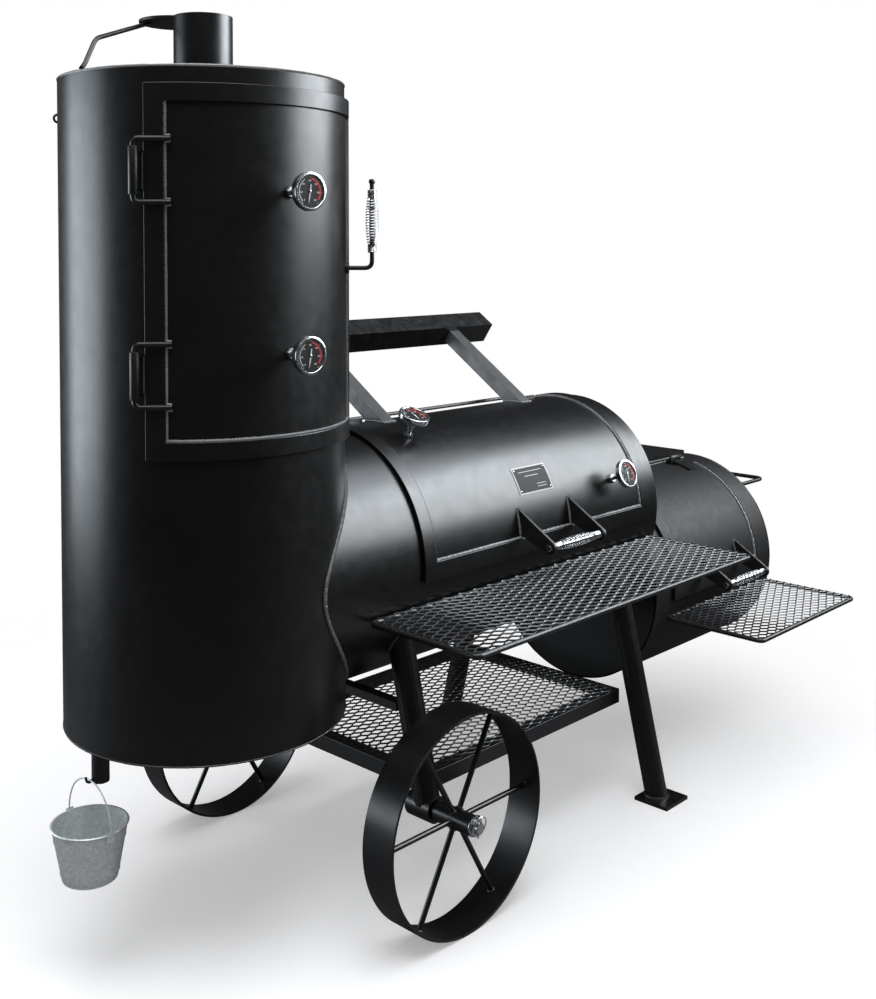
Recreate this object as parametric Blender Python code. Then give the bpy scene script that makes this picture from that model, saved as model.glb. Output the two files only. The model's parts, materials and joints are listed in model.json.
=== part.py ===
"""Offset smoker with a vertical cabinet, a cooking barrel and a firebox.

The object is modelled with its length along X (cabinet at -X, firebox at +X), its front facing
-Y and +Z up, resting on Z = 0. Helper coordinates start at the cabinet's axis on the floor; the
empty called smoker shifts everything so that the origin lies under the middle of the object.
"""
import math

import bmesh
import bpy
from mathutils import Vector

# ---------------------------------------------------------------- driving dimensions (metres)
GAP = 0.0003                     # between pieces that touch
ROUND = 72                       # facets on the large rolled cylinders
WALL = 0.00635                   # 1/4 inch plate

CABINET_R = 0.3048               # 24 inch pipe
CABINET_Z = (0.475, 1.845)       # 54 inches tall
DOOR_ANGLES = (-141.5, -38.5)    # around the cabinet, 0 is +X
DOOR_Z = (1.108, 1.783)
CHIMNEY_R = 0.0635               # 5 inch tube
CHIMNEY_TOP = 1.991
DAMPER_R = 0.080
DAMPER_PIVOT_ANGLE = 44.2        # of the swivel pin, behind the chimney
DAMPER_PIVOT_R = 0.0775
DAMPER_SWING = -97.2             # the damper stands open
HINGE_ANGLE = -149.9
HINGE_R = 0.330
HINGE_Z = (1.2455, 1.6415)
LATCH_ANGLE = -46.0
LATCH_Z = 1.448
CABINET_DIAL_ANGLE = -93.0
CABINET_DIAL_Z = (1.281, 1.603)
RACK_Z = (1.16, 1.36)
NEEDLE_LEAN = 9.0                # a cold dial's needle hangs this far left of straight down

BARREL_R = 0.2933
BARREL_Z = 0.7588
BARREL_END = 1.3335              # the plane where barrel and firebox meet
LID_X = (0.411, 1.250)
LID_ANGLES = (2.0, 106.0)        # around the barrel, 0 is -Y and 90 is up
LID_HINGE_ANGLE = 111.0
LID_DIALS = ((0.515, 67.5), (1.131, 21.0))
STRUT_X = (0.544, 1.084)
STRUT_TILT = 34.3
STRUT_FOOT_Z = BARREL_Z + 0.2872
STRUT_SIDE = 0.0381
BAR_SIDE = 0.0640
BAR_REACH = 0.354                # from the struts' foot to the bar's middle
GRATE_Z = 0.728

FIREBOX_Z = 0.500
FIREBOX_END = 1.983
FIREBOX_LID_X = (1.445, 1.892)
FIREBOX_LID_ANGLES = (2.0, 77.0)
FIREBOX_HINGE_ANGLE = 82.4
WARMER_X = (1.360, 1.912)
WARMER_Y = (-0.020, 0.200)
WARMER_TOP = 0.818

FLANGE_WIDTH = 0.030             # flat bar round each door and lid
FLANGE_LAP = 0.008               # how far it lies on the door or lid
DOOR_PROUD = 0.0032              # doors and lids stand out from the shells by this

AXLE_X = 0.362
AXLE_Z = 0.2407
WHEEL_Y = (0.3686, 0.4571)
LEG_R = 0.0302                   # 2 inch pipe
LEG_FOOT_Y = 0.385
LEG_SPLAY = 0.240                # inward lean per unit height
RIGHT_LEG_X = 1.200
LOWER_SHELF = ((0.392, 1.168), (-0.283, 0.283), 0.283)
FRONT_SHELF = ((0.213, 1.312), (-0.607, -0.2855), 0.685)
SIDE_SHELF = ((1.377, 1.945), (-0.600, -0.2915), 0.440)
SHELF_ROD_R = 0.0064

DRAIN_XY = (-0.262, 0.008)
DRAIN_R = 0.0182
DRAIN_BOTTOM = 0.396
BUCKET_X = -0.288
BUCKET_Z = (0.206, 0.320)
BUCKET_R = (0.056, 0.077)
BAIL_TOP = 0.4060

PULL_X = 2.157                   # outer side of the towing handle
X_LIMITS = (BUCKET_X - BUCKET_R[1], PULL_X + SHELF_ROD_R)
Y_LIMITS = (FRONT_SHELF[1][0], 0.485)

MATERIALS = {
    "black_steel": ((0.012, 0.012, 0.013), 0.42, 0.2),
    "grey_steel": ((0.10, 0.105, 0.11), 0.45, 0.6),
    "chrome": ((0.75, 0.75, 0.76), 0.12, 1.0),
    "galvanised": ((0.48, 0.52, 0.54), 0.38, 0.9),
    "needle": ((0.85, 0.85, 0.84), 0.5, 0.0),
}


# ---------------------------------------------------------------- helpers
def material(name):
    found = bpy.data.materials.get(name)
    if found:
        return found
    colour, roughness, metallic = MATERIALS[name]
    made = bpy.data.materials.new(name)
    made.use_nodes = True
    shader = made.node_tree.nodes["Principled BSDF"]
    shader.inputs["Base Color"].default_value = (*colour, 1.0)
    shader.inputs["Roughness"].default_value = roughness
    shader.inputs["Metallic"].default_value = metallic
    made.diffuse_color = (*colour, 1.0)
    return made


def empty(name, spot, parent=None):
    """An empty at a place in helper coordinates; the one without a parent is the frame itself."""
    made = bpy.data.objects.new(name, None)
    bpy.context.scene.collection.objects.link(made)
    made["spot"] = tuple(spot) if parent else (0.0, 0.0, 0.0)
    made.location = spot
    if parent:
        made.parent = parent
        made.location = Vector(spot) - Vector(parent["spot"])
    return made


def place(name, mesh, finish, parent):
    """An object whose mesh is in helper coordinates, parented to a joint's empty."""
    bmesh.ops.remove_doubles(mesh, verts=mesh.verts, dist=0.00001)
    bmesh.ops.recalc_face_normals(mesh, faces=mesh.faces)
    data = bpy.data.meshes.new(name)
    mesh.to_mesh(data)
    mesh.free()
    data.shade_smooth()
    data.set_sharp_from_angle(angle=math.radians(35))
    made = bpy.data.objects.new(name, data)
    bpy.context.scene.collection.objects.link(made)
    data.materials.append(material(finish))
    made.parent = parent
    made.location = -Vector(parent["spot"])
    return made


def helper(name, mesh, parent):
    made = place(name, mesh, "grey_steel", parent)
    made.hide_render = True
    made.display_type = "WIRE"
    return made


def boolean(target, operation, name, mesh):
    tool = helper(name, mesh, target.parent)
    modifier = target.modifiers.new(name, "BOOLEAN")
    modifier.operation = operation
    modifier.solver = "EXACT"
    modifier.object = tool
    return target


def cut(target, name, mesh):
    return boolean(target, "DIFFERENCE", name, mesh)


def join(target, name, mesh):
    return boolean(target, "UNION", name, mesh)


def about_z(x=0.0, y=0.0):
    return lambda r, a, h: (x + r * math.cos(a), y + r * math.sin(a), h)


def about_x(z, y=0.0):
    return lambda r, a, h: (h, y - r * math.cos(a), z + r * math.sin(a))


def about_y(x, z):
    return lambda r, a, h: (x + r * math.cos(a), h, z + r * math.sin(a))


def about_ray(start, direction):
    direction = Vector(direction).normalized()
    side = direction.orthogonal().normalized()
    other = direction.cross(side)
    start = Vector(start)
    return lambda r, a, h: start + direction * h + side * (r * math.cos(a)) + other * (r * math.sin(a))


def turned(profile, where, facets=24):
    """A solid of revolution: profile points are (radius, height)."""
    mesh = bmesh.new()
    rings = []
    for radius, height in profile:
        if radius == 0:
            rings.append([mesh.verts.new(where(0, 0, height))] * facets)
        else:
            turns = [2 * math.pi * i / facets for i in range(facets)]
            rings.append([mesh.verts.new(where(radius, turn, height)) for turn in turns])
    pairs = list(zip(rings, rings[1:]))
    if profile[0][0] > 0:
        pairs.append((rings[-1], rings[0]))
    for low, high in pairs:
        for i in range(facets):
            j = (i + 1) % facets
            corners = [low[i], low[j], high[j], high[i]]
            corners = [v for k, v in enumerate(corners) if v not in corners[:k]]
            if len(corners) > 2:
                mesh.faces.new(corners)
    return mesh


def disc(radius, low, high, where, facets=24):
    return turned([(0, low), (radius, low), (radius, high), (0, high)], where, facets)


def ring(inner, outer, low, high, where, facets=24):
    return turned([(inner, low), (outer, low), (outer, high), (inner, high)], where, facets)


def sector(radii, degrees, heights, where, step=5.0):
    """A curved plate between two radii, two angles and two heights."""
    mesh = bmesh.new()
    count = max(2, math.ceil((degrees[1] - degrees[0]) / step))
    sections = []
    for i in range(count + 1):
        angle = math.radians(degrees[0] + (degrees[1] - degrees[0]) * i / count)
        corners = ((radii[0], heights[0]), (radii[1], heights[0]), (radii[1], heights[1]), (radii[0], heights[1]))
        sections.append([mesh.verts.new(where(r, angle, h)) for r, h in corners])
    for one, two in zip(sections, sections[1:]):
        for i in range(4):
            j = (i + 1) % 4
            mesh.faces.new((one[i], one[j], two[j], two[i]))
    mesh.faces.new(sections[0])
    mesh.faces.new(sections[-1])
    return mesh


def swept(points, radius, sides=10):
    """A round rod through the points, mitred at its bends."""
    mesh = bmesh.new()
    points = [Vector(p) for p in points]
    steps = [(b - a).normalized() for a, b in zip(points, points[1:])]
    side = steps[0].orthogonal().normalized()
    rings = []
    for i, point in enumerate(points):
        before = steps[max(i - 1, 0)]
        after = steps[min(i, len(steps) - 1)]
        if i > 0:
            side = (side - before * side.dot(before)).normalized()
        other = before.cross(side)
        normal = (before + after).normalized()
        circle = []
        for k in range(sides):
            angle = 2 * math.pi * k / sides
            offset = side * (radius * math.cos(angle)) + other * (radius * math.sin(angle))
            offset -= before * (offset.dot(normal) / before.dot(normal))
            circle.append(mesh.verts.new(point + offset))
        rings.append(circle)
        if i < len(points) - 1:
            side = (side - after * side.dot(after)).normalized()
    for one, two in zip(rings, rings[1:]):
        for k in range(sides):
            j = (k + 1) % sides
            mesh.faces.new((one[k], one[j], two[j], two[k]))
    mesh.faces.new(rings[0])
    mesh.faces.new(rings[-1])
    return mesh


def bend(corner, before, after, radius, steps=4):
    """Points that round a corner between the points before and after it."""
    corner, before, after = Vector(corner), Vector(before), Vector(after)
    start = corner + (before - corner).normalized() * radius
    end = corner + (after - corner).normalized() * radius
    points = []
    for i in range(steps + 1):
        t = i / steps
        points.append(start * (1 - t) ** 2 + corner * (2 * t * (1 - t)) + end * t ** 2)
    return points


def block(low, high):
    mesh = bmesh.new()
    bmesh.ops.create_cube(mesh, size=1.0)
    for vert in mesh.verts:
        vert.co = Vector([low[i] if vert.co[i] < 0 else high[i] for i in range(3)])
    return mesh


def extruded(outline, x_low, x_high):
    """A plate across X whose outline is given as (y, z) points."""
    mesh = bmesh.new()
    face = mesh.faces.new([mesh.verts.new((x_low, y, z)) for y, z in outline])
    grown = bmesh.ops.extrude_face_region(mesh, geom=[face])
    for vert in [g for g in grown["geom"] if isinstance(g, bmesh.types.BMVert)]:
        vert.co.x = x_high
    return mesh


def lattice(x_span, y_span, z_span, holes, bar):
    """A flat plate with a grid of openings, standing for expanded metal or rods."""
    def stops(span, count):
        pitch = (span[1] - span[0] - bar) / count
        marks = []
        for i in range(count):
            marks += [span[0] + i * pitch, span[0] + i * pitch + bar]
        return marks + [span[1] - bar, span[1]]

    mesh = bmesh.new()
    xs, ys = stops(x_span, holes[0]), stops(y_span, holes[1])
    grid = {}
    for i, x in enumerate(xs):
        for j, y in enumerate(ys):
            grid[i, j] = [mesh.verts.new((x, y, z)) for z in z_span]

    def solid(i, j):
        inside = 0 <= i < len(xs) - 1 and 0 <= j < len(ys) - 1
        return inside and not (i % 2 == 1 and j % 2 == 1)

    for i in range(len(xs) - 1):
        for j in range(len(ys) - 1):
            if not solid(i, j):
                continue
            corners = [grid[i, j], grid[i + 1, j], grid[i + 1, j + 1], grid[i, j + 1]]
            mesh.faces.new([c[0] for c in corners])
            mesh.faces.new([c[1] for c in corners])
            for k, (di, dj) in enumerate(((0, -1), (1, 0), (0, 1), (-1, 0))):
                if not solid(i + di, j + dj):
                    one, two = corners[k], corners[(k + 1) % 4]
                    mesh.faces.new((one[0], two[0], two[1], one[1]))
    return mesh


def loop_frame(x_span, y_span, corner, profile, arc_steps=3):
    """A closed frame round a rectangle; profile points are (inward offset, height)."""
    mesh = bmesh.new()
    centres = [(x_span[0] + corner, y_span[0] + corner, 180), (x_span[1] - corner, y_span[0] + corner, 270),
               (x_span[1] - corner, y_span[1] - corner, 0), (x_span[0] + corner, y_span[1] - corner, 90)]
    sections = []
    for x, y, start in centres:
        for step in range(arc_steps + 1):
            angle = math.radians(start + 90 * step / arc_steps)
            out = Vector((math.cos(angle), math.sin(angle)))
            stretch = 1.0
            if corner == 0:
                out = Vector((math.cos(math.radians(start + 45)), math.sin(math.radians(start + 45))))
                stretch = math.sqrt(2)
            section = []
            for offset, height in profile:
                reach = corner - offset * stretch
                section.append(mesh.verts.new((x + out.x * reach, y + out.y * reach, height)))
            sections.append(section)
            if corner == 0:
                break
    count = len(profile)
    for one, two in zip(sections, sections[1:] + sections[:1]):
        for i in range(count):
            j = (i + 1) % count
            mesh.faces.new((one[i], one[j], two[j], two[i]))
    return mesh


def combine(meshes):
    """Several separate solids as one mesh, for one Boolean."""
    whole = bmesh.new()
    for mesh in meshes:
        scratch = bpy.data.meshes.new("scratch")
        mesh.to_mesh(scratch)
        mesh.free()
        whole.from_mesh(scratch)
        bpy.data.meshes.remove(scratch)
    return whole


def circle_profile(radius, offset, height, sides=8):
    points = []
    for i in range(sides):
        angle = 2 * math.pi * (i + 0.5) / sides
        points.append((offset + radius * math.cos(angle), height + radius * math.sin(angle)))
    return points


# ---------------------------------------------------------------- repeated sub-parts
def thermometer(name, start, direction, stand_off, pivot, parent):
    """Case with its probe, nut and recessed dial, and the needle that turns in it."""
    where = about_ray(start, direction)
    head = 0.0385
    face = stand_off - 0.0045
    profile = [(0, -0.060), (0.003, -0.060), (0.003, GAP), (0.0115, GAP), (0.0115, 0.018), (0.0065, 0.020),
               (0.0065, stand_off - 0.024), (0.020, stand_off - 0.020), (head - 0.002, stand_off - 0.016),
               (head, stand_off - 0.012), (head, stand_off - 0.001), (head - 0.0045, stand_off),
               (head - 0.0055, face), (0, face)]
    place(name, turned(profile, where, 18), "chrome", parent)
    ray = Vector(direction).normalized()
    up = Vector((0, 0, 1)) - ray * ray.z
    up.normalize()
    side = ray.cross(up)
    centre = Vector(start) + ray * (face + 0.0012)
    needle = bmesh.new()
    lean = math.radians(NEEDLE_LEAN)
    tip = side * math.sin(lean) - up * math.cos(lean)
    wide = ray.cross(tip)
    outline = ((-0.0012, -0.014), (0.0012, -0.014), (0.0014, 0.012), (0, 0.024), (-0.0014, 0.012))
    layers = []
    for depth in (0.0, 0.0008):
        layers.append([needle.verts.new(centre + ray * depth + wide * a + tip * b) for a, b in outline])
    needle.faces.new(layers[0])
    needle.faces.new(layers[1])
    for i in range(5):
        j = (i + 1) % 5
        needle.faces.new((layers[0][i], layers[0][j], layers[1][j], layers[1][i]))
    place(name + "_needle", needle, "needle", empty(name + "_needle_pivot", tuple(centre), pivot))


def spring_grip(name, start, direction, length, parent):
    """The outer shape of a barrel-shaped wire grip, bored for its rod."""
    outer = []
    for i in range(7):
        t = i / 6
        outer.append((0.0078 + 0.0072 * math.sin(math.pi * t) ** 0.8, length * t))
    profile = [(0.0056, 0.0)] + outer + [(0.0056, length)]
    return place(name, turned(profile, about_ray(start, direction), 12), "chrome", parent)


def bracket_outline(centre_z, reach, eye_r, top_angle, low_angle):
    """Handle bracket in the YZ plane: from the lid's surface out to a round eye."""
    foot_r = BARREL_R + DOOR_PROUD + 2 * GAP
    eye = (-reach, centre_z + 0.009)
    points = []
    for i in range(7):
        angle = math.radians(128 + (278 - 128) * i / 6)
        points.append((eye[0] + eye_r * math.cos(angle), eye[1] + eye_r * math.sin(angle)))
    for i in range(5):
        angle = math.radians(low_angle + (top_angle - low_angle) * i / 4)
        points.append((-foot_r * math.cos(angle), centre_z + foot_r * math.sin(angle)))
    return points, eye


def hinge_point(centre_z, angle):
    radius = BARREL_R + 0.0182
    return (-radius * math.cos(math.radians(angle)), centre_z + radius * math.sin(math.radians(angle)))


def rolled_lid(name, centre_z, x_span, angles, hinge_angle, parent, holes=()):
    """Curved lid plate with its hinge straps and knuckles."""
    where = about_x(centre_z)
    inner, outer = BARREL_R + DOOR_PROUD - WALL, BARREL_R + DOOR_PROUD
    lid = place(name, sector((inner, outer), angles, x_span, where), "black_steel", parent)
    if holes:
        cut(lid, name + "_holes", combine([disc(0.0036, -0.02, 0.02, about_ray(*hole), 12) for hole in holes]))
    knuckles = lid_knuckles(x_span)
    y, z = hinge_point(centre_z, hinge_angle)
    reach = (angles[1] - 9, hinge_angle)
    straps = [sector((outer - 0.002, outer + 0.008), reach, (x - 0.018, x + 0.018), where) for x in knuckles]
    join(lid, name + "_straps", combine(straps))
    join(lid, name + "_knuckles", combine([disc(0.0085, x - 0.0185, x + 0.0185, about_x(z, y), 16)
                                           for x in knuckles]))
    cut(lid, name + "_bores", combine([disc(0.0056, x - 0.03, x + 0.03, about_x(z, y), 16) for x in knuckles]))
    return lid


def lid_frame(name, centre_z, x_span, angles, parent):
    """Flat bar on three sides of a lid, lapping over the shell."""
    where = about_x(centre_z)
    inner = BARREL_R + DOOR_PROUD + GAP
    lap_angle = math.degrees(FLANGE_LAP / BARREL_R)
    out_angle = math.degrees((FLANGE_WIDTH + 0.004) / BARREL_R)
    out_x = FLANGE_WIDTH
    frame = sector((inner, inner + WALL), (angles[0] - out_angle, angles[1] - 1.5),
                   (x_span[0] - out_x, x_span[1] + out_x), where)
    made = place(name, frame, "black_steel", parent)
    window = sector((inner - 0.02, inner + 0.02), (angles[0] + lap_angle, angles[1] + 20),
                    (x_span[0] + FLANGE_LAP, x_span[1] - FLANGE_LAP), where)
    return cut(made, name + "_window", window)


def hinge_rod(name, centre_z, hinge_angle, x_span, parent):
    """Hinge pin along X, held by a pair of lugs beside each knuckle."""
    knuckles = lid_knuckles(x_span)
    y, z = hinge_point(centre_z, hinge_angle)
    made = place(name, disc(0.005, knuckles[0] - 0.034, knuckles[-1] + 0.034, about_x(z, y), 14),
                 "black_steel", parent)
    radial = Vector((0, y, z - centre_z)).normalized()
    across = Vector((0, -radial.z, radial.y))
    foot_r = BARREL_R + GAP
    lugs = []
    for x in knuckles:
        for x_low in (x - 0.0275, x + 0.0195):
            outline = []
            for step in (-1, 1):
                foot = radial * foot_r + across * (0.011 * step)
                outline.append(foot * (foot_r / foot.length))
            for step in range(5):
                angle = math.pi * step / 4
                outline.append(radial * (foot_r + 0.0182) + across * (0.009 * math.cos(angle))
                               + radial * (0.009 * math.sin(angle)))
            points = [(p.y, centre_z + p.z) for p in outline]
            lugs.append(extruded(points, x_low, x_low + 0.008))
    return join(made, name + "_lugs", combine(lugs))


# ---------------------------------------------------------------- the cabinet
def build_cabinet(root):
    where = about_z()
    inner = CABINET_R - WALL
    shell = place("cabinet_shell", ring(inner, CABINET_R, *CABINET_Z, where, ROUND), "black_steel", root)
    kerf = 0.3
    opening = sector((inner - 0.03, CABINET_R + 0.03), (DOOR_ANGLES[0] - kerf, DOOR_ANGLES[1] + kerf),
                     (DOOR_Z[0] - 0.0015, DOOR_Z[1] + 0.0015), where)
    cut(shell, "cabinet_door_opening", opening)
    cut(shell, "cabinet_flue_opening", disc(0.235, 0.10, 0.45, about_x(BARREL_Z), 48))
    plate_r = inner - 0.0004
    axis = cabinet_radial(HINGE_ANGLE, HINGE_R, 0)
    ray = cabinet_radial(HINGE_ANGLE, 1.0, 0)
    along = Vector((-ray.y, ray.x, 0))
    blocks = []
    for z in HINGE_Z:
        mesh = block((CABINET_R - 0.003, -0.007, -0.038), (HINGE_R - 0.006, 0.007, 0.038))
        for vert in mesh.verts:
            vert.co = ray * vert.co.x + along * vert.co.y + Vector((0, 0, z + vert.co.z))
        blocks.append(mesh)
    spot = about_z(axis.x, axis.y)
    join(shell, "hinge_blocks", combine(blocks))
    join(shell, "hinge_sleeves", combine([disc(0.0095, z - 0.0465, z + 0.0465, spot, 16) for z in HINGE_Z]))
    cut(shell, "hinge_bores", combine([disc(0.0067, z - 0.06, z + 0.06, spot, 16) for z in HINGE_Z]))
    top_ring = ring(CHIMNEY_R + GAP, plate_r, CABINET_Z[1] - 0.0085, CABINET_Z[1] - 0.0022, where, ROUND)
    place("cabinet_top_plate", top_ring, "black_steel", root)
    floor_disc = disc(plate_r, CABINET_Z[0] + 0.004, CABINET_Z[0] + 0.0103, where, ROUND)
    floor = place("cabinet_floor_plate", floor_disc, "black_steel", root)
    cut(floor, "drain_hole", disc(0.0150, 0.46, 0.50, about_z(*DRAIN_XY), 20))
    for side, z in zip(("lower", "upper"), RACK_Z):
        rack = place(f"cabinet_rack_{side}", ring(0.2840, 0.2930, z, z + 0.008, where, 30), "black_steel", root)
        bars = lattice((-0.288, 0.288), (-0.288, 0.288), (z + 0.001, z + 0.007), (3, 3), 0.008)
        grid = helper(f"cabinet_rack_{side}_bars", bars, root)
        trim = grid.modifiers.new("trim", "BOOLEAN")
        trim.operation = "INTERSECT"
        trim.object = helper(f"cabinet_rack_{side}_trim", disc(0.2885, z - 0.01, z + 0.02, where, 30), root)
        union = rack.modifiers.new("bars", "BOOLEAN")
        union.operation = "UNION"
        union.object = grid


def damper_spot():
    angle = math.radians(DAMPER_PIVOT_ANGLE)
    return Vector((DAMPER_PIVOT_R * math.cos(angle), DAMPER_PIVOT_R * math.sin(angle), 0))


def build_damper(root):
    pivot_at = damper_spot()
    tube = disc(CHIMNEY_R, CABINET_Z[1] - 0.030, CHIMNEY_TOP, about_z(), 36)
    chimney = place("chimney", tube, "black_steel", root)
    spot = about_z(pivot_at.x, pivot_at.y)
    join(chimney, "damper_sleeve", disc(0.0095, CHIMNEY_TOP - 0.040, CHIMNEY_TOP - 0.0004, spot, 14))
    join(chimney, "damper_pin", disc(0.0045, CHIMNEY_TOP - 0.036, CHIMNEY_TOP + 0.014, spot, 14))
    web_z = Vector((0, 0, CHIMNEY_TOP - 0.020))
    web = [pivot_at * 0.79 + web_z, pivot_at + web_z]
    join(chimney, "damper_web", swept(web, 0.006, 8))
    cut(chimney, "chimney_bore", disc(CHIMNEY_R - 0.0032, 1.75, 2.10, about_z(), 36))

    swing = empty("damper_swing", (pivot_at.x, pivot_at.y, CHIMNEY_TOP), root)
    turn = math.radians(DAMPER_SWING)
    centre = Vector((pivot_at.x - (pivot_at.x * math.cos(turn) - pivot_at.y * math.sin(turn)),
                     pivot_at.y - (pivot_at.x * math.sin(turn) + pivot_at.y * math.cos(turn)), 0))
    low = CHIMNEY_TOP + GAP
    plate = place("damper_plate", disc(DAMPER_R, low, low + 0.006, about_z(centre.x, centre.y), 36),
                  "black_steel", swing)
    boss = disc(0.012, low, low + 0.006, about_z(pivot_at.x, pivot_at.y), 16)
    join(plate, "damper_ear", boss)
    cut(plate, "damper_bore", disc(0.0051, low - 0.01, low + 0.02, about_z(pivot_at.x, pivot_at.y), 16))
    arm_z = low + 0.0056         # just clear of the chimney's rim when the damper is shut
    start = Vector((centre.x - 0.040, centre.y + 0.030, arm_z))
    knee = Vector((-0.243, 0.033, 1.920))
    outward = Vector((knee.x - start.x, knee.y - start.y, 0)).normalized()
    edge = start + outward * 0.051
    end = [Vector((-0.284, 0.010, 1.858)), Vector((-0.292, 0.004, 1.853))]
    path = [start] + bend(edge, start, knee, 0.010) + bend(knee, edge, end[0], 0.020) + end
    join(plate, "damper_arm", swept(path, 0.0048, 10))


def cabinet_radial(angle, radius, z):
    a = math.radians(angle)
    return Vector((radius * math.cos(a), radius * math.sin(a), z))


def build_cabinet_door(root):
    where = about_z()
    axis = cabinet_radial(HINGE_ANGLE, HINGE_R, 0)
    door_body = empty("cabinet_door_swing", tuple(axis), root)
    inner, outer = CABINET_R + DOOR_PROUD - WALL, CABINET_R + DOOR_PROUD
    door = place("cabinet_door", sector((inner, outer), DOOR_ANGLES, DOOR_Z, where), "black_steel", door_body)
    latch_ray = cabinet_radial(LATCH_ANGLE, 1.0, 0)
    latch_from = cabinet_radial(LATCH_ANGLE, 0.26, LATCH_Z)
    cut(door, "latch_bore", disc(0.0068, 0.0, 0.08, about_ray(latch_from, latch_ray), 14))

    lap = math.degrees(FLANGE_LAP / CABINET_R)
    wide = math.degrees((FLANGE_WIDTH + 0.002) / CABINET_R)
    frame_in = outer + GAP
    frame_angles = (DOOR_ANGLES[0] - wide, DOOR_ANGLES[1] + wide)
    frame_plate = sector((frame_in, frame_in + WALL), frame_angles, (DOOR_Z[0] - 0.028, DOOR_Z[1] + 0.028), where)
    frame = place("cabinet_door_frame", frame_plate, "black_steel", door_body)
    window = sector((frame_in - 0.02, frame_in + 0.02), (DOOR_ANGLES[0] + lap, DOOR_ANGLES[1] - lap),
                    (DOOR_Z[0] + FLANGE_LAP, DOOR_Z[1] - FLANGE_LAP), where)
    cut(frame, "door_frame_window", window)
    weld_end = cabinet_radial(-137.5, 0.3150, 0)
    rods = []
    for z in HINGE_Z:
        high, low = z + 0.061, z - 0.061
        corners = [weld_end + Vector((0, 0, high)), axis + Vector((0, 0, high)), axis + Vector((0, 0, low)),
                   weld_end + Vector((0, 0, low))]
        path = [corners[0]] + bend(corners[1], corners[0], corners[2], 0.012)
        path += bend(corners[2], corners[1], corners[3], 0.012) + [corners[3]]
        rods.append(swept(path, 0.006, 8))
    join(frame, "hinge_rods", combine(rods))
    latch_turn = empty("cabinet_latch_turn", tuple(cabinet_radial(LATCH_ANGLE, CABINET_R, LATCH_Z)), door_body)
    knee = cabinet_radial(LATCH_ANGLE, 0.365, LATCH_Z)
    top = knee + Vector((0, 0, 0.186))
    start = cabinet_radial(LATCH_ANGLE, 0.2855, LATCH_Z)
    path = [start] + bend(knee, start, top, 0.016) + [top]
    handle = place("cabinet_latch_handle", swept(path, 0.0049, 10), "black_steel", latch_turn)
    along = Vector((-latch_ray.y, latch_ray.x, 0))
    cam = block((0.284, -0.010, -0.012), (0.2895, 0.010, 0.051))
    for vert in cam.verts:
        vert.co = latch_ray * vert.co.x + along * vert.co.y + Vector((0, 0, LATCH_Z + vert.co.z))
    join(handle, "latch_cam", cam)
    spring_grip("cabinet_latch_grip", knee + Vector((0, 0, 0.034)), (0, 0, 1), 0.136, latch_turn)

    for side, z in zip(("lower", "upper"), CABINET_DIAL_Z):
        start = cabinet_radial(CABINET_DIAL_ANGLE, outer, z)
        ray = cabinet_radial(CABINET_DIAL_ANGLE, 1.0, 0)
        cut(door, f"dial_bore_{side}", disc(0.0036, -0.02, 0.02, about_ray(start, ray), 12))
        thermometer(f"cabinet_thermometer_{side}", start, ray, 0.070, door_body, door_body)


def build_drain_and_bucket(root):
    where = about_z(*DRAIN_XY)
    pipe = place("drain_pipe", ring(0.0152, DRAIN_R, DRAIN_BOTTOM, CABINET_Z[0] + 0.0037, where, 24),
                 "black_steel", root)
    x, y = DRAIN_XY
    hook = [(x - DRAIN_R + 0.0015, y, 0.4080), (x - DRAIN_R - 0.003, y, 0.4025), (BUCKET_X, y, 0.4005),
            (BUCKET_X - 0.006, y, 0.4040), (BUCKET_X - 0.0085, y, 0.4130)]
    join(pipe, "bucket_hook", swept(hook, 0.0028, 8))

    bail_swing = empty("bail_swing", (BUCKET_X, y, 0.4035), root)
    ear_z = BUCKET_Z[1] - 0.0065
    ear_y = BUCKET_R[1] + 0.0036
    points = []
    for i in range(17):
        angle = math.pi * i / 16
        rise = (BAIL_TOP - ear_z) * math.sin(angle) ** 0.85
        points.append((BUCKET_X, y + ear_y * math.cos(angle), ear_z + rise))
    place("bucket_bail", swept(points, 0.0015, 8), "galvanised", bail_swing)
    tilt = empty("bucket_tilt", (BUCKET_X, y, ear_z), bail_swing)
    skin = 0.0012
    profile = [(0, BUCKET_Z[0]), (BUCKET_R[0], BUCKET_Z[0]), (BUCKET_R[1], BUCKET_Z[1]),
               (BUCKET_R[1] - skin, BUCKET_Z[1]), (BUCKET_R[0] - skin, BUCKET_Z[0] + skin),
               (0, BUCKET_Z[0] + skin)]
    place("bucket", turned(profile, about_z(BUCKET_X, y), 36), "galvanised", tilt)


# ---------------------------------------------------------------- the barrel
def build_barrel(root):
    where = about_x(BARREL_Z)
    inner = BARREL_R - WALL
    end = BARREL_END - GAP
    profile = [(inner, 0.06), (BARREL_R, 0.06), (BARREL_R, end), (0, end), (0, end - WALL), (inner, end - WALL)]
    shell = place("barrel_shell", turned_cup(profile, where), "black_steel", root)
    cut(shell, "barrel_saddle", disc(CABINET_R + 0.0006, 0.3, 1.2, about_z(), ROUND))
    kerf = 0.3
    opening = sector((inner - 0.03, BARREL_R + 0.03), (LID_ANGLES[0] - kerf, LID_ANGLES[1] + kerf),
                     (LID_X[0] - 0.0015, LID_X[1] + 0.0015), where)
    throat = block((end - 0.05, -0.150, 0.560), (end + 0.05, 0.150, 0.700))
    cut(shell, "barrel_openings", combine([opening, throat]))
    place("barrel_grate", lattice((0.340, 1.310), (-0.280, 0.280), (GRATE_Z, GRATE_Z + 0.006), (6, 3), 0.010),
          "black_steel", root)
    hinge_rod("barrel_hinge_rod", BARREL_Z, LID_HINGE_ANGLE, LID_X, root)


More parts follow.
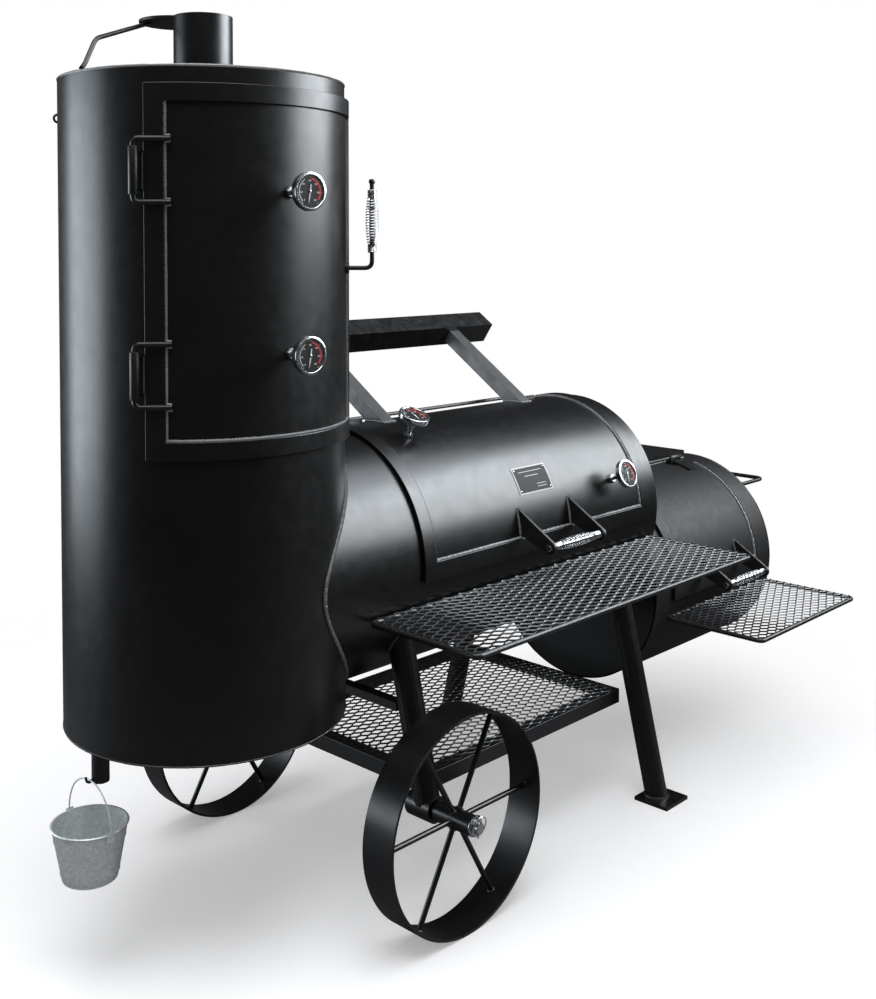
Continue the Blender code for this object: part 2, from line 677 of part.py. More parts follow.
def turned_cup(profile, where):
    """A tube closed by a flat end whose two faces meet the axis."""
    mesh = bmesh.new()
    outer = profile[:4]
    inner = profile[4:]
    rings = []
    for radius, height in outer + inner:
        if radius == 0:
            rings.append([mesh.verts.new(where(0, 0, height))] * ROUND)
        else:
            rings.append([mesh.verts.new(where(radius, 2 * math.pi * i / ROUND, height)) for i in range(ROUND)])
    pairs = [(0, 1), (1, 2), (2, 3), (4, 5), (5, 0)]
    for one, two in pairs:
        for i in range(ROUND):
            j = (i + 1) % ROUND
            corners = [rings[one][i], rings[one][j], rings[two][j], rings[two][i]]
            corners = [v for k, v in enumerate(corners) if v not in corners[:k]]
            if len(corners) > 2:
                mesh.faces.new(corners)
    return mesh


def lid_knuckles(x_span):
    inset = 0.076
    return (x_span[0] + inset, x_span[1] - inset)


def build_barrel_lid(root):
    y, z = hinge_point(BARREL_Z, LID_HINGE_ANGLE)
    body = empty("barrel_lid_swing", ((LID_X[0] + LID_X[1]) / 2, y, z), root)
    outer = BARREL_R + DOOR_PROUD
    dials = []
    for x, angle in LID_DIALS:
        a = math.radians(angle)
        ray = Vector((0, -math.cos(a), math.sin(a)))
        dials.append((Vector((x, 0, BARREL_Z)) + ray * outer, ray))
    rolled_lid("barrel_lid", BARREL_Z, LID_X, LID_ANGLES, LID_HINGE_ANGLE, body, dials)
    lid_frame("barrel_lid_frame", BARREL_Z, LID_X, LID_ANGLES, body)

    tilt = math.radians(STRUT_TILT)
    along = Vector((0, math.cos(tilt), math.sin(tilt)))
    across = Vector((0, -math.sin(tilt), math.cos(tilt)))
    foot = Vector((0, 0, STRUT_FOOT_Z))

    def tilted(x_span, span, half):
        mesh = block((x_span[0], span[0], -half), (x_span[1], span[1], half))
        for vert in mesh.verts:
            vert.co = foot + Vector((vert.co.x, 0, 0)) + along * vert.co.y + across * vert.co.z
        return mesh

    half = STRUT_SIDE / 2
    for side, x in zip(("left", "right"), STRUT_X):
        span = (-0.02, BAR_REACH - BAR_SIDE / 2 - GAP)
        strut = place(f"lid_strut_{side}", tilted((x - half, x + half), span, half),
                      "grey_steel", body)
        cut(strut, f"strut_saddle_{side}", disc(outer + 0.0005, 0.2, 1.4, about_x(BARREL_Z), ROUND))
    reach = (BAR_REACH - BAR_SIDE / 2, BAR_REACH + BAR_SIDE / 2)
    place("counterweight_bar", tilted((LID_X[0], LID_X[1]), reach, BAR_SIDE / 2), "black_steel", body)

    middle = (LID_X[0] + LID_X[1]) / 2
    build_handle("lid_handle", BARREL_Z, middle, 0.101, body, True)
    name_where = about_x(BARREL_Z)
    place("name_plate", sector((outer + GAP, outer + 0.0015), (22.9, 36.8), (0.752, 0.884), name_where),
          "chrome", body)
    for side, (start, ray) in zip(("left", "right"), dials):
        thermometer(f"lid_thermometer_{side}", start, ray, 0.062, body, body)


def build_handle(name, centre_z, middle, half, parent, separate):
    """Two brackets with a rod between them that carries a spring grip."""
    outline, eye = bracket_outline(centre_z, 0.387, 0.0165, 18.0, 4.8)
    thick = 0.008
    left, right = middle - half, middle + half
    rod = swept([(left - thick / 2 - 0.006, *eye), (right + thick / 2 + 0.006, *eye)], 0.0050, 12)
    if separate:
        for side, x in (("left", left), ("right", right)):
            bracket = extruded(outline, x - thick / 2, x + thick / 2)
            plate = place(f"{name}_bracket_{side}", bracket, "black_steel", parent)
            cut(plate, f"{name}_eye_{side}", disc(0.0054, x - 0.02, x + 0.02, about_x(eye[1], eye[0]), 12))
        made = place(f"{name}_rod", rod, "chrome", parent)
        for side, low, high in (("left", left - 0.0105, left - thick / 2 - GAP),
                                ("right", right + thick / 2 + GAP, right + 0.0105)):
            join(made, f"{name}_nut_{side}", disc(0.0085, low, high, about_x(eye[1], eye[0]), 12))
    else:
        made = place(f"{name}_bracket", rod, "black_steel", parent)
        for side, x in (("left", left), ("right", right)):
            join(made, f"{name}_plate_{side}", extruded(outline, x - thick / 2, x + thick / 2))
    grip_from = left + thick / 2 + 0.004
    spring_grip(f"{name}_grip", (grip_from, *eye), (1, 0, 0), 2 * half - thick - 0.008, parent)


# ---------------------------------------------------------------- the firebox
def build_firebox(root):
    where = about_x(FIREBOX_Z)
    inner = BARREL_R - WALL
    left = BARREL_END + GAP
    shell = place("firebox_shell", disc(BARREL_R, left, FIREBOX_END, where, ROUND), "black_steel", root)
    cut(shell, "firebox_bore", disc(inner, left + WALL, FIREBOX_END - WALL, where, ROUND))
    kerf = 0.3
    span = (FIREBOX_LID_ANGLES[0] - kerf, FIREBOX_LID_ANGLES[1] + kerf)
    opening = sector((inner - 0.03, BARREL_R + 0.03), span,
                     (FIREBOX_LID_X[0] - 0.0015, FIREBOX_LID_X[1] + 0.0015), where)
    throat = block((left - 0.05, -0.150, 0.560), (left + 0.05, 0.150, 0.700))
    doorway = block((FIREBOX_END - 0.05, -0.110, 0.355), (FIREBOX_END + 0.05, 0.110, 0.625))
    cut(shell, "firebox_openings", combine([opening, throat, doorway]))
    hinge_rod("firebox_hinge_rod", FIREBOX_Z, FIREBOX_HINGE_ANGLE, FIREBOX_LID_X, root)
    bars = lattice((1.370, 1.950), (-0.245, 0.245), (0.400, 0.410), (6, 4), 0.014)
    place("fire_grate", bars, "black_steel", root)

    slab = block((WARMER_X[0], WARMER_Y[0], 0.700), (WARMER_X[1], WARMER_Y[1], WARMER_TOP))
    top = place("warming_plate", slab, "black_steel", root)
    skirt = 0.005
    cut(top, "warmer_hollow", block((WARMER_X[0] + skirt, WARMER_Y[0] + skirt, 0.60),
                                    (WARMER_X[1] - skirt, WARMER_Y[1] - skirt, WARMER_TOP - 0.0063)))
    cut(top, "warmer_saddle", disc(BARREL_R + 0.0006, 1.2, 2.1, where, ROUND))

    y, z = hinge_point(FIREBOX_Z, FIREBOX_HINGE_ANGLE)
    middle = (FIREBOX_LID_X[0] + FIREBOX_LID_X[1]) / 2
    body = empty("firebox_lid_swing", (middle, y, z), root)
    rolled_lid("firebox_lid", FIREBOX_Z, FIREBOX_LID_X, FIREBOX_LID_ANGLES, FIREBOX_HINGE_ANGLE, body)
    lid_frame("firebox_lid_frame", FIREBOX_Z, FIREBOX_LID_X, FIREBOX_LID_ANGLES, body)
    build_handle("firebox_handle", FIREBOX_Z, middle, 0.1065, body, False)

    pull_z, pull_y = 0.710, 0.175
    path = [(FIREBOX_END + GAP, -pull_y, pull_z)]
    path += bend((PULL_X, -pull_y, pull_z), (FIREBOX_END, -pull_y, pull_z), (PULL_X, 0, pull_z), 0.030)
    path += bend((PULL_X, pull_y, pull_z), (PULL_X, 0, pull_z), (FIREBOX_END, pull_y, pull_z), 0.030)
    path += [(FIREBOX_END + GAP, pull_y, pull_z)]
    place("pull_handle", swept(path, SHELF_ROD_R, 10), "black_steel", root)


def build_firebox_door(root):
    face = FIREBOX_END + GAP
    axis = Vector((face + 0.0100, 0.148, 0))
    body = empty("firebox_door_swing", tuple(axis), root)
    door = place("firebox_door", block((face, -0.132, 0.333), (face + WALL, 0.132, 0.647)), "black_steel", body)
    heights = (0.405, 0.575)
    spot = about_z(axis.x, axis.y)
    leaf_x = (face + WALL - 0.002, face + WALL + 0.0045)
    join(door, "door_leaves", combine([block((leaf_x[0], 0.110, z - 0.0175), (leaf_x[1], 0.144, z + 0.0175))
                                       for z in heights]))
    join(door, "door_knuckles", combine([disc(0.0080, z - 0.018, z + 0.018, spot, 14) for z in heights]))
    cut(door, "door_bores", combine([disc(0.0052, z - 0.03, z + 0.03, spot, 14) for z in heights]))
    grip = [(face + WALL - 0.001, -0.100, 0.450), (face + WALL + 0.034, -0.100, 0.450),
            (face + WALL + 0.034, -0.100, 0.550), (face + WALL - 0.001, -0.100, 0.550)]
    path = [grip[0]] + bend(grip[1], grip[0], grip[2], 0.012)
    path += bend(grip[2], grip[1], grip[3], 0.012) + [grip[3]]
    join(door, "door_pull", swept(path, 0.0048, 8))
    cut(door, "air_holes", combine([disc(0.020, face - 0.02, face + 0.03, about_x(0.425, y), 18)
                                    for y in (-0.030, 0.030)]))
    join(door, "air_pin", disc(0.0045, face + WALL - 0.001, face + WALL + 0.012, about_x(0.425, 0.0), 12))

    pin = place("firebox_door_hinge", disc(0.0046, 0.376, 0.604, spot, 12), "black_steel", root)
    lug_z = (0.3815, 0.4285, 0.5515, 0.5985)
    join(pin, "hinge_lugs", combine([block((face, 0.140, z - 0.004), (axis.x + 0.008, 0.156, z + 0.004))
                                     for z in lug_z]))

    damper_at = (face + WALL + GAP, 0.0, 0.425)
    turn = empty("air_damper_turn", damper_at, body)
    span = (damper_at[0], damper_at[0] + 0.003)
    spot = about_x(damper_at[2])
    wings = combine([sector((0.0085, 0.0560), angles, span, spot, 12) for angles in ((-38, 38), (142, 218))])
    damper = place("air_damper", wings, "black_steel", turn)
    join(damper, "damper_hub", ring(0.0051, 0.0120, span[0], span[1], spot, 16))
    tab = [(damper_at[0] + 0.001, -0.050, 0.425), (damper_at[0] + 0.018, -0.050, 0.425)]
    join(damper, "damper_tab", swept(tab, 0.004, 8))


# ---------------------------------------------------------------- running gear and shelves
def leg_y(z):
    return LEG_FOOT_Y - LEG_SPLAY * z


def build_legs(root):
    for depth, sign in (("front", -1), ("back", 1)):
        foot = (RIGHT_LEG_X, sign * leg_y(0.004), 0.004)
        high = (RIGHT_LEG_X, sign * leg_y(0.66), 0.66)
        leg = place(f"leg_{depth}_right", swept([foot, high], LEG_R, 20), "black_steel", root)
        cut(leg, f"leg_saddle_{depth}", disc(BARREL_R + 0.0006, 0.9, 1.4, about_x(BARREL_Z), ROUND))
        cut(leg, f"leg_trim_{depth}", block((1.0, -0.6, -0.1), (1.4, 0.6, 0.0055)))
        y = sign * (LEG_FOOT_Y + 0.013)
        sole = block((RIGHT_LEG_X - 0.051, y - 0.051, 0.0), (RIGHT_LEG_X + 0.051, y + 0.051, 0.0095))
        join(leg, f"foot_plate_{depth}", sole)

        low = (AXLE_X, sign * leg_y(0.235), 0.235)
        high = (AXLE_X, sign * leg_y(0.66), 0.66)
        leg = place(f"leg_{depth}_left", swept([low, high], LEG_R, 20), "black_steel", root)
        cut(leg, f"left_leg_saddle_{depth}", disc(BARREL_R + 0.0006, 0.1, 0.8, about_x(BARREL_Z), ROUND))
        cut(leg, f"left_leg_notch_{depth}", disc(LEG_R + 0.0006, -0.5, 0.5, about_y(AXLE_X, AXLE_Z), 28))
    brace_z = 0.446
    reach = leg_y(brace_z) - LEG_R * 1.03 - 0.006
    bar = block((AXLE_X - 0.014, -reach, brace_z - 0.010), (AXLE_X + 0.014, reach, brace_z + 0.010))
    place("leg_brace", bar, "black_steel", root)


def build_wheels(root):
    for depth, sign in (("front", -1), ("back", 1)):
        steps = ((0, 0.2830), (LEG_R, 0.2830), (LEG_R, 0.3560), (0.0127, 0.3560), (0.0127, 0.4665),
                 (0.0220, 0.4665), (0.0220, 0.4700), (0.0127, 0.4700), (0.0127, 0.4850), (0, 0.4850))
        profile = [(radius, sign * reach) for radius, reach in steps]
        place(f"stub_axle_{depth}", turned(profile, about_y(AXLE_X, AXLE_Z), 28), "black_steel", root)
    for depth, sign in (("front", -1), ("back", 1)):
        body = empty(f"wheel_{depth}_spin", (AXLE_X, sign * (WHEEL_Y[0] + WHEEL_Y[1]) / 2, AXLE_Z), root)
        low, high = sorted((sign * WHEEL_Y[0], sign * WHEEL_Y[1]))
        rim_in = AXLE_Z - 0.0060
        rim = ring(rim_in, AXLE_Z, low, high, about_y(AXLE_X, AXLE_Z), 48)
        wheel = place(f"wheel_{depth}", rim, "black_steel", body)
        hub = sorted((sign * 0.3600, sign * 0.4655))
        join(wheel, f"wheel_hub_{depth}", disc(0.0225, hub[0], hub[1], about_y(AXLE_X, AXLE_Z), 20))
        middle = (low + high) / 2
        for i in range(3):
            angle = math.pi * i / 3
            ends = []
            for way in (-1, 1):
                reach = way * (rim_in + 0.002)
                ends.append((AXLE_X + reach * math.cos(angle), middle, AXLE_Z + reach * math.sin(angle)))
            join(wheel, f"wheel_spoke_{depth}_{i}", swept(ends, 0.0062, 8))
        bore = disc(0.0132, hub[0] - 0.01, hub[1] + 0.01, about_y(AXLE_X, AXLE_Z), 24)
        cut(wheel, f"wheel_bore_{depth}", bore)


def rod_shelf(name, spans, holes, root):
    """A rod frame with expanded metal welded on it."""
    (x_span, y_span, top) = spans
    rod_z = top - 0.003 - SHELF_ROD_R + 0.0012
    frame = loop_frame(x_span, y_span, 0.030, circle_profile(SHELF_ROD_R, SHELF_ROD_R, rod_z))
    shelf = place(name, frame, "black_steel", root)
    inset = SHELF_ROD_R
    mesh = lattice((x_span[0] + inset, x_span[1] - inset), (y_span[0] + inset, y_span[1] - inset),
                   (top - 0.003 - 0.0031, top), holes, 0.010)
    join(shelf, name + "_metal", mesh)
    return shelf


def build_shelves(root):
    rod_shelf("front_shelf", FRONT_SHELF, (5, 2), root)
    rod_shelf("side_shelf", SIDE_SHELF, (3, 2), root)
    x_span, y_span, top = LOWER_SHELF
    leg, skin = 0.0381, 0.0050
    profile = [(0, top), (0, top - leg), (skin, top - leg), (skin, top - skin), (leg, top - skin), (leg, top)]
    shelf = place("lower_shelf", loop_frame(x_span, y_span, 0, profile, 1), "black_steel", root)
    mesh = lattice((x_span[0] + 0.008, x_span[1] - 0.008), (y_span[0] + 0.008, y_span[1] - 0.008),
                   (top - 0.0012, top + 0.0018), (5, 3), 0.014)
    join(shelf, "lower_shelf_metal", mesh)


# ---------------------------------------------------------------- the whole smoker
def main():
    for old in list(bpy.data.objects):
        bpy.data.objects.remove(old, do_unlink=True)
    root = empty("smoker", (-sum(X_LIMITS) / 2, -sum(Y_LIMITS) / 2, 0.0))
    build_cabinet(root)
    build_damper(root)
    build_cabinet_door(root)
    build_drain_and_bucket(root)
    build_barrel(root)
    build_barrel_lid(root)
    build_firebox(root)
    build_firebox_door(root)
    build_legs(root)
    build_wheels(root)
    build_shelves(root)


main()
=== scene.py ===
"""Looks of an offset smoker with an upright cabinet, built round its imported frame.

Pieces are modelled in cabinet coordinates, which start on the floor under the cabinet's axis,
with +X along the barrel and the front facing -Y. Lengths are in metres, angles in degrees.
"""
import json
import random
from math import asin, cos, degrees, hypot, pi, radians, sin, sqrt

import bmesh
import bpy
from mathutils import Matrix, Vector

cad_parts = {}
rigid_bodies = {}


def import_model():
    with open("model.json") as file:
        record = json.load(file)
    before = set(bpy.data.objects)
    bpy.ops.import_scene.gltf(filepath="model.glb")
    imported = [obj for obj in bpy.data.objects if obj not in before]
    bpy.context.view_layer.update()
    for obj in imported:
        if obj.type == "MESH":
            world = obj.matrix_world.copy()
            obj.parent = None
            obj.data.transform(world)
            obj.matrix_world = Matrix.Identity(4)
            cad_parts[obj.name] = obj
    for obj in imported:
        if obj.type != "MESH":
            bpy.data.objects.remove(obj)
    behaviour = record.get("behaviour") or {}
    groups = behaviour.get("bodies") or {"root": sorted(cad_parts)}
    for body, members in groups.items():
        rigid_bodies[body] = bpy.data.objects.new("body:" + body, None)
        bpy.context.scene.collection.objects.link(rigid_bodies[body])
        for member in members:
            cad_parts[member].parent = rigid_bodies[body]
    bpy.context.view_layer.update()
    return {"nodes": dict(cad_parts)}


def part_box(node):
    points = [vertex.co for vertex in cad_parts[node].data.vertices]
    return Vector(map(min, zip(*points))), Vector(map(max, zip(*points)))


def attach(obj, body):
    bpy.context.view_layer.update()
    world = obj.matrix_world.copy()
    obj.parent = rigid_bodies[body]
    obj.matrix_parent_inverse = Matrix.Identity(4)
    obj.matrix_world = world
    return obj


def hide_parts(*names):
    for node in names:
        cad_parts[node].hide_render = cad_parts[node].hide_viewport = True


for old in list(bpy.data.objects):
    bpy.data.objects.remove(old, do_unlink=True)
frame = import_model()
random.seed(7)


# ---------------------------------------------------------------- places, read from the frame
low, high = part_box("cabinet_floor_plate")
ORIGIN = Vector(((low.x + high.x) / 2, (low.y + high.y) / 2, 0))


def local_box(node):
    low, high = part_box(node)
    return low - ORIGIN, high - ORIGIN


low, high = local_box("barrel_shell")
BARREL_R = (high.y - low.y) / 2
BARREL_Z = (high.z + low.z) / 2
BARREL_END = high.x
low, high = local_box("firebox_shell")
FIREBOX_START = low.x
FIREBOX_END = high.x
FIREBOX_Z = (high.z + low.z) / 2
low, high = local_box("cabinet_shell")
CABINET_R = high.x
CABINET_Z = (low.z, high.z)
WALL = 0.00635
PROUD = 0.0032                   # doors and lids stand out from the shells
GAP = 0.0003

DOOR_ANGLES = (-141.5, -38.5)    # around the cabinet, 0 is +X
low, high = local_box("cabinet_door")
DOOR_Z = (low.z, high.z)
LID_ANGLES = (2.0, 106.0)        # around the barrel, 0 is -Y and 90 is up
low, high = local_box("barrel_lid")
LID_X = (low.x, high.x)
LID_HINGE = 111.0
HINGE_ANGLE = -149.9             # the cabinet door's hinge pin
HINGE_R = 0.330
HINGE_Z = (1.2455, 1.6415)
FIREBOX_LID_ANGLES = (2.0, 77.0)
low, high = local_box("firebox_lid")
FIREBOX_LID_X = (low.x, high.x)
FIREBOX_HINGE = 82.4
KNUCKLE_INSET = 0.076
FLANGE = 0.030
LAP = 0.008
DOOR_R = CABINET_R + PROUD
LID_R = BARREL_R + PROUD
low, high = local_box("wheel_front")
AXLE_X = (low.x + high.x) / 2
WHEEL_R = (high.x - low.x) / 2
AXLE_Z = WHEEL_R
CHIMNEY_R = 0.0635
THROAT = (0.150, 0.560, 0.700)   # half width, bottom and top of the way from firebox to barrel
DOORWAY = (0.110, 0.355, 0.625)
LEG_X = 1.200                    # the right legs; the left ones stand over the axle


# ---------------------------------------------------------------- materials
def set_inputs(node, **values):
    for key, value in values.items():
        node.inputs[key.replace("_", " ")].default_value = value


class Mix:
    """A procedural material while its nodes are put together."""

    def __init__(self, name, **values):
        self.made = bpy.data.materials.new(name)
        self.made.use_nodes = True
        self.nodes = self.made.node_tree.nodes
        self.shader = self.nodes["Principled BSDF"]
        set_inputs(self.shader, **values)

    def add(self, kind, **values):
        node = self.nodes.new("ShaderNode" + kind)
        set_inputs(node, **values)
        return node

    def join(self, *pairs):
        for source, target in pairs:
            self.made.node_tree.links.new(source, target)

    def coordinates(self):
        return self.add("TexCoord").outputs["Object"]

    def noise(self, scale, detail=2.0):
        made = self.add("TexNoise", Scale=scale, Detail=detail)
        self.join((self.coordinates(), made.inputs["Vector"]))
        return made.outputs["Fac"]

    def colour(self, source, *stops):
        """The base colour follows the source along a ramp of (position, colour) stops."""
        made = self.add("ValToRGB")
        points = made.color_ramp.elements
        while len(points) < len(stops):
            points.new(0.5)
        for point, (position, colour) in zip(points, stops):
            point.position = position
            point.color = (*colour, 1.0)
        self.join((source, made.inputs["Fac"]), (made.outputs["Color"], self.shader.inputs["Base Color"]))

    def roughness(self, source, low, high):
        made = self.add("MapRange", From_Min=0.3, From_Max=0.7, To_Min=low, To_Max=high)
        self.join((source, made.inputs["Value"]), (made.outputs["Result"], self.shader.inputs["Roughness"]))

    def bumps(self, *layers):
        """Chained bumps; a layer is (height source, strength, distance)."""
        normal = None
        for source, strength, distance in layers:
            made = self.add("Bump", Strength=strength, Distance=distance)
            self.join((source, made.inputs["Height"]))
            if normal:
                self.join((normal, made.inputs["Normal"]))
            normal = made.outputs["Normal"]
        self.join((normal, self.shader.inputs["Normal"]))


def satin_paint(name, dark, light, rough, grain=1.0, wave=0.0, shine=0.5):
    """High-heat paint on mill-finish steel: faint blotches, a fine tooth and a slow roll waviness."""
    mix = Mix(name, Specular_IOR_Level=shine, IOR=1.5)
    mix.colour(mix.noise(5.0, 6.0), (0.3, dark), (0.72, light))
    mix.roughness(mix.noise(38.0, 5.0), *rough)
    layers = [(mix.noise(1400.0), 0.10 * grain, 0.0004)]
    if wave:
        layers.append((mix.noise(3.0, 1.0), 0.25, wave))
    mix.bumps(*layers)
    return mix.made


def metal(name, tone, rough):
    mix = Mix(name, Metallic=1.0)
    smear = mix.noise(220.0, 4.0)
    mix.colour(smear, (0.25, [c * 0.86 for c in tone]), (0.75, tone))
    mix.roughness(smear, *rough)
    mix.bumps((smear, 0.03, 0.0004))
    return mix.made


def galvanised_steel():
    """Zinc spangle: small cells, each its own grey, with wavering borders."""
    mix = Mix("galvanised_spangle", Metallic=0.35)
    wobble = mix.add("TexNoise", Scale=60.0)
    shrink = mix.add("VectorMath")
    shrink.operation = "SCALE"
    set_inputs(shrink, Scale=0.012)
    warp = mix.add("VectorMath")
    cells = mix.add("TexVoronoi", Scale=210.0)
    grey = mix.add("RGBToBW")
    mix.join((mix.coordinates(), wobble.inputs["Vector"]), (wobble.outputs["Color"], shrink.inputs[0]),
             (mix.coordinates(), warp.inputs[0]), (shrink.outputs["Vector"], warp.inputs[1]),
             (warp.outputs["Vector"], cells.inputs["Vector"]), (cells.outputs["Color"], grey.inputs["Color"]))
    tone = grey.outputs["Val"]
    mix.colour(tone, (0.1, (0.60, 0.64, 0.65)), (0.9, (0.84, 0.87, 0.88)))
    mix.roughness(tone, 0.34, 0.46)
    mix.bumps((tone, 0.03, 0.0006), (mix.noise(30.0), 0.15, 0.001))
    return mix.made


def printed(name, colour, rough=0.55):
    mix = Mix(name, Specular_IOR_Level=0.2)
    speck = mix.noise(900.0, 3.0)
    mix.colour(speck, (0.2, [c * 0.9 for c in colour]), (0.8, colour))
    mix.roughness(speck, rough - 0.06, rough + 0.06)
    return mix.made


def clear_glass():
    mix = Mix("dial_glass", IOR=1.45, Alpha=0.03, Base_Color=(0.30, 0.32, 0.34, 1.0))
    mix.roughness(mix.noise(60.0), 0.04, 0.09)
    return mix.made


def sooty_steel():
    mix = Mix("sooty_steel", Metallic=0.35)
    stain = mix.noise(9.0, 8.0)
    mix.colour(stain, (0.25, (0.010, 0.009, 0.008)), (0.55, (0.028, 0.023, 0.020)),
               (0.8, (0.060, 0.042, 0.030)))
    mix.roughness(stain, 0.55, 0.8)
    mix.bumps((mix.noise(260.0, 4.0), 0.3, 0.001))
    return mix.made


PAINT = satin_paint("black_high_heat_paint", (0.0030, 0.0030, 0.0033), (0.0060, 0.0060, 0.0063),
                    (0.30, 0.36), wave=0.0005)
PAINT_HOT = satin_paint("heat_dulled_paint", (0.0050, 0.0048, 0.0048), (0.0100, 0.0096, 0.0096),
                        (0.50, 0.60), wave=0.0005, shine=0.28)
PAINT_PARTS = satin_paint("black_paint_on_bar", (0.004, 0.004, 0.0045), (0.010, 0.010, 0.0105),
                          (0.32, 0.46), 1.5)
# Black paint lightened to grey: a painted reflection of the bright surroundings on the struts' flat faces.
GREYED_PAINT_PAINTED_REFLECTION = satin_paint("black_paint_greyed_by_painted_reflection", (0.050, 0.053, 0.057), (0.105, 0.110, 0.116),
                         (0.38, 0.52), 2.0)
# Black paint lightened towards silver-grey: a painted glint on the expanded-metal strands.
MESH_PAINT_PAINTED_GLINT = satin_paint("black_paint_on_mesh_with_painted_glint", (0.022, 0.023, 0.025), (0.050, 0.053, 0.057),
                         (0.22, 0.34), 1.5)
# Weld paint far lighter than the black paint: a painted highlight along the beads.
WELD_PAINTED_HIGHLIGHT = satin_paint("weld_paint_with_painted_highlight", (0.075, 0.077, 0.080), (0.21, 0.215, 0.22), (0.22, 0.36), 2.5)
# A dimmer copy of the weld paint: a weaker painted highlight, for the welds that show darker.
WELD_DIM_PAINTED_HIGHLIGHT = satin_paint("weld_paint_with_dim_painted_highlight", (0.016, 0.016, 0.017), (0.045, 0.046, 0.047), (0.26, 0.38), 2.5)
CHROME = metal("chrome_plate", (0.74, 0.75, 0.77), (0.16, 0.28))
ZINC = metal("zinc_plate", (0.50, 0.51, 0.52), (0.24, 0.40))
GALVANISED = galvanised_steel()
DIAL_BLACK = printed("dial_black", (0.006, 0.006, 0.007))
DIAL_WHITE = printed("dial_white", (0.80, 0.80, 0.78))
DIAL_RED = printed("dial_red", (0.78, 0.040, 0.030))
SILVER_PRINT = printed("silver_print", (0.60, 0.61, 0.62), 0.35)
GLASS = clear_glass()
SOOT = sooty_steel()


# ---------------------------------------------------------------- mesh tools
def about_z(x=0.0, y=0.0):
    return lambda r, a, h: Vector((x + r * cos(a), y + r * sin(a), h))


def about_x(z, y=0.0):
    return lambda r, a, h: Vector((h, y - r * cos(a), z + r * sin(a)))


def about_y(x, z):
    return lambda r, a, h: Vector((x + r * cos(a), h, z + r * sin(a)))


def about_ray(start, direction, up=None):
    direction = Vector(direction).normalized()
    side = direction.orthogonal() if up is None else direction.cross(Vector(up))
    side.normalize()
    other = direction.cross(side)
    start = Vector(start)
    return lambda r, a, h: start + direction * h + side * (r * cos(a)) + other * (r * sin(a))


def steps(start, end, count):
    return [start + (end - start) * i / count for i in range(count + 1)]


def full_turn(count):
    """Angles in radians at even steps round a circle."""
    return [2 * pi * i / count for i in range(count)]


def arc(where, radius, span, height, count=48):
    return [where(radius, radians(a), height) for a in steps(span[0], span[1], count)]


def smooth_path(points, radius, count=8):
    """A polyline whose inner corners are rounded."""
    points = [Vector(p) for p in points]
    path = [points[0]]
    for before, corner, after in zip(points, points[1:], points[2:]):
        start = corner + (before - corner).normalized() * radius
        end = corner + (after - corner).normalized() * radius
        for t in steps(0, 1, count):
            path.append(start * (1 - t) ** 2 + corner * (2 * t * (1 - t)) + end * t ** 2)
    return path + [points[-1]]


def even(points, spacing, closed=False):
    """The same path with points at an even spacing."""
    points = [Vector(p) for p in points]
    if closed:
        points.append(points[0])
    lengths = [0.0]
    for one, two in zip(points, points[1:]):
        lengths.append(lengths[-1] + (two - one).length)
    count = max(2, round(lengths[-1] / spacing))
    made, k = [], 0
    for i in range(count if closed else count + 1):
        target = lengths[-1] * i / count
        while k < len(points) - 2 and lengths[k + 1] < target:
            k += 1
        part = (target - lengths[k]) / max(lengths[k + 1] - lengths[k], 1e-9)
        made.append(points[k].lerp(points[k + 1], part))
    return made


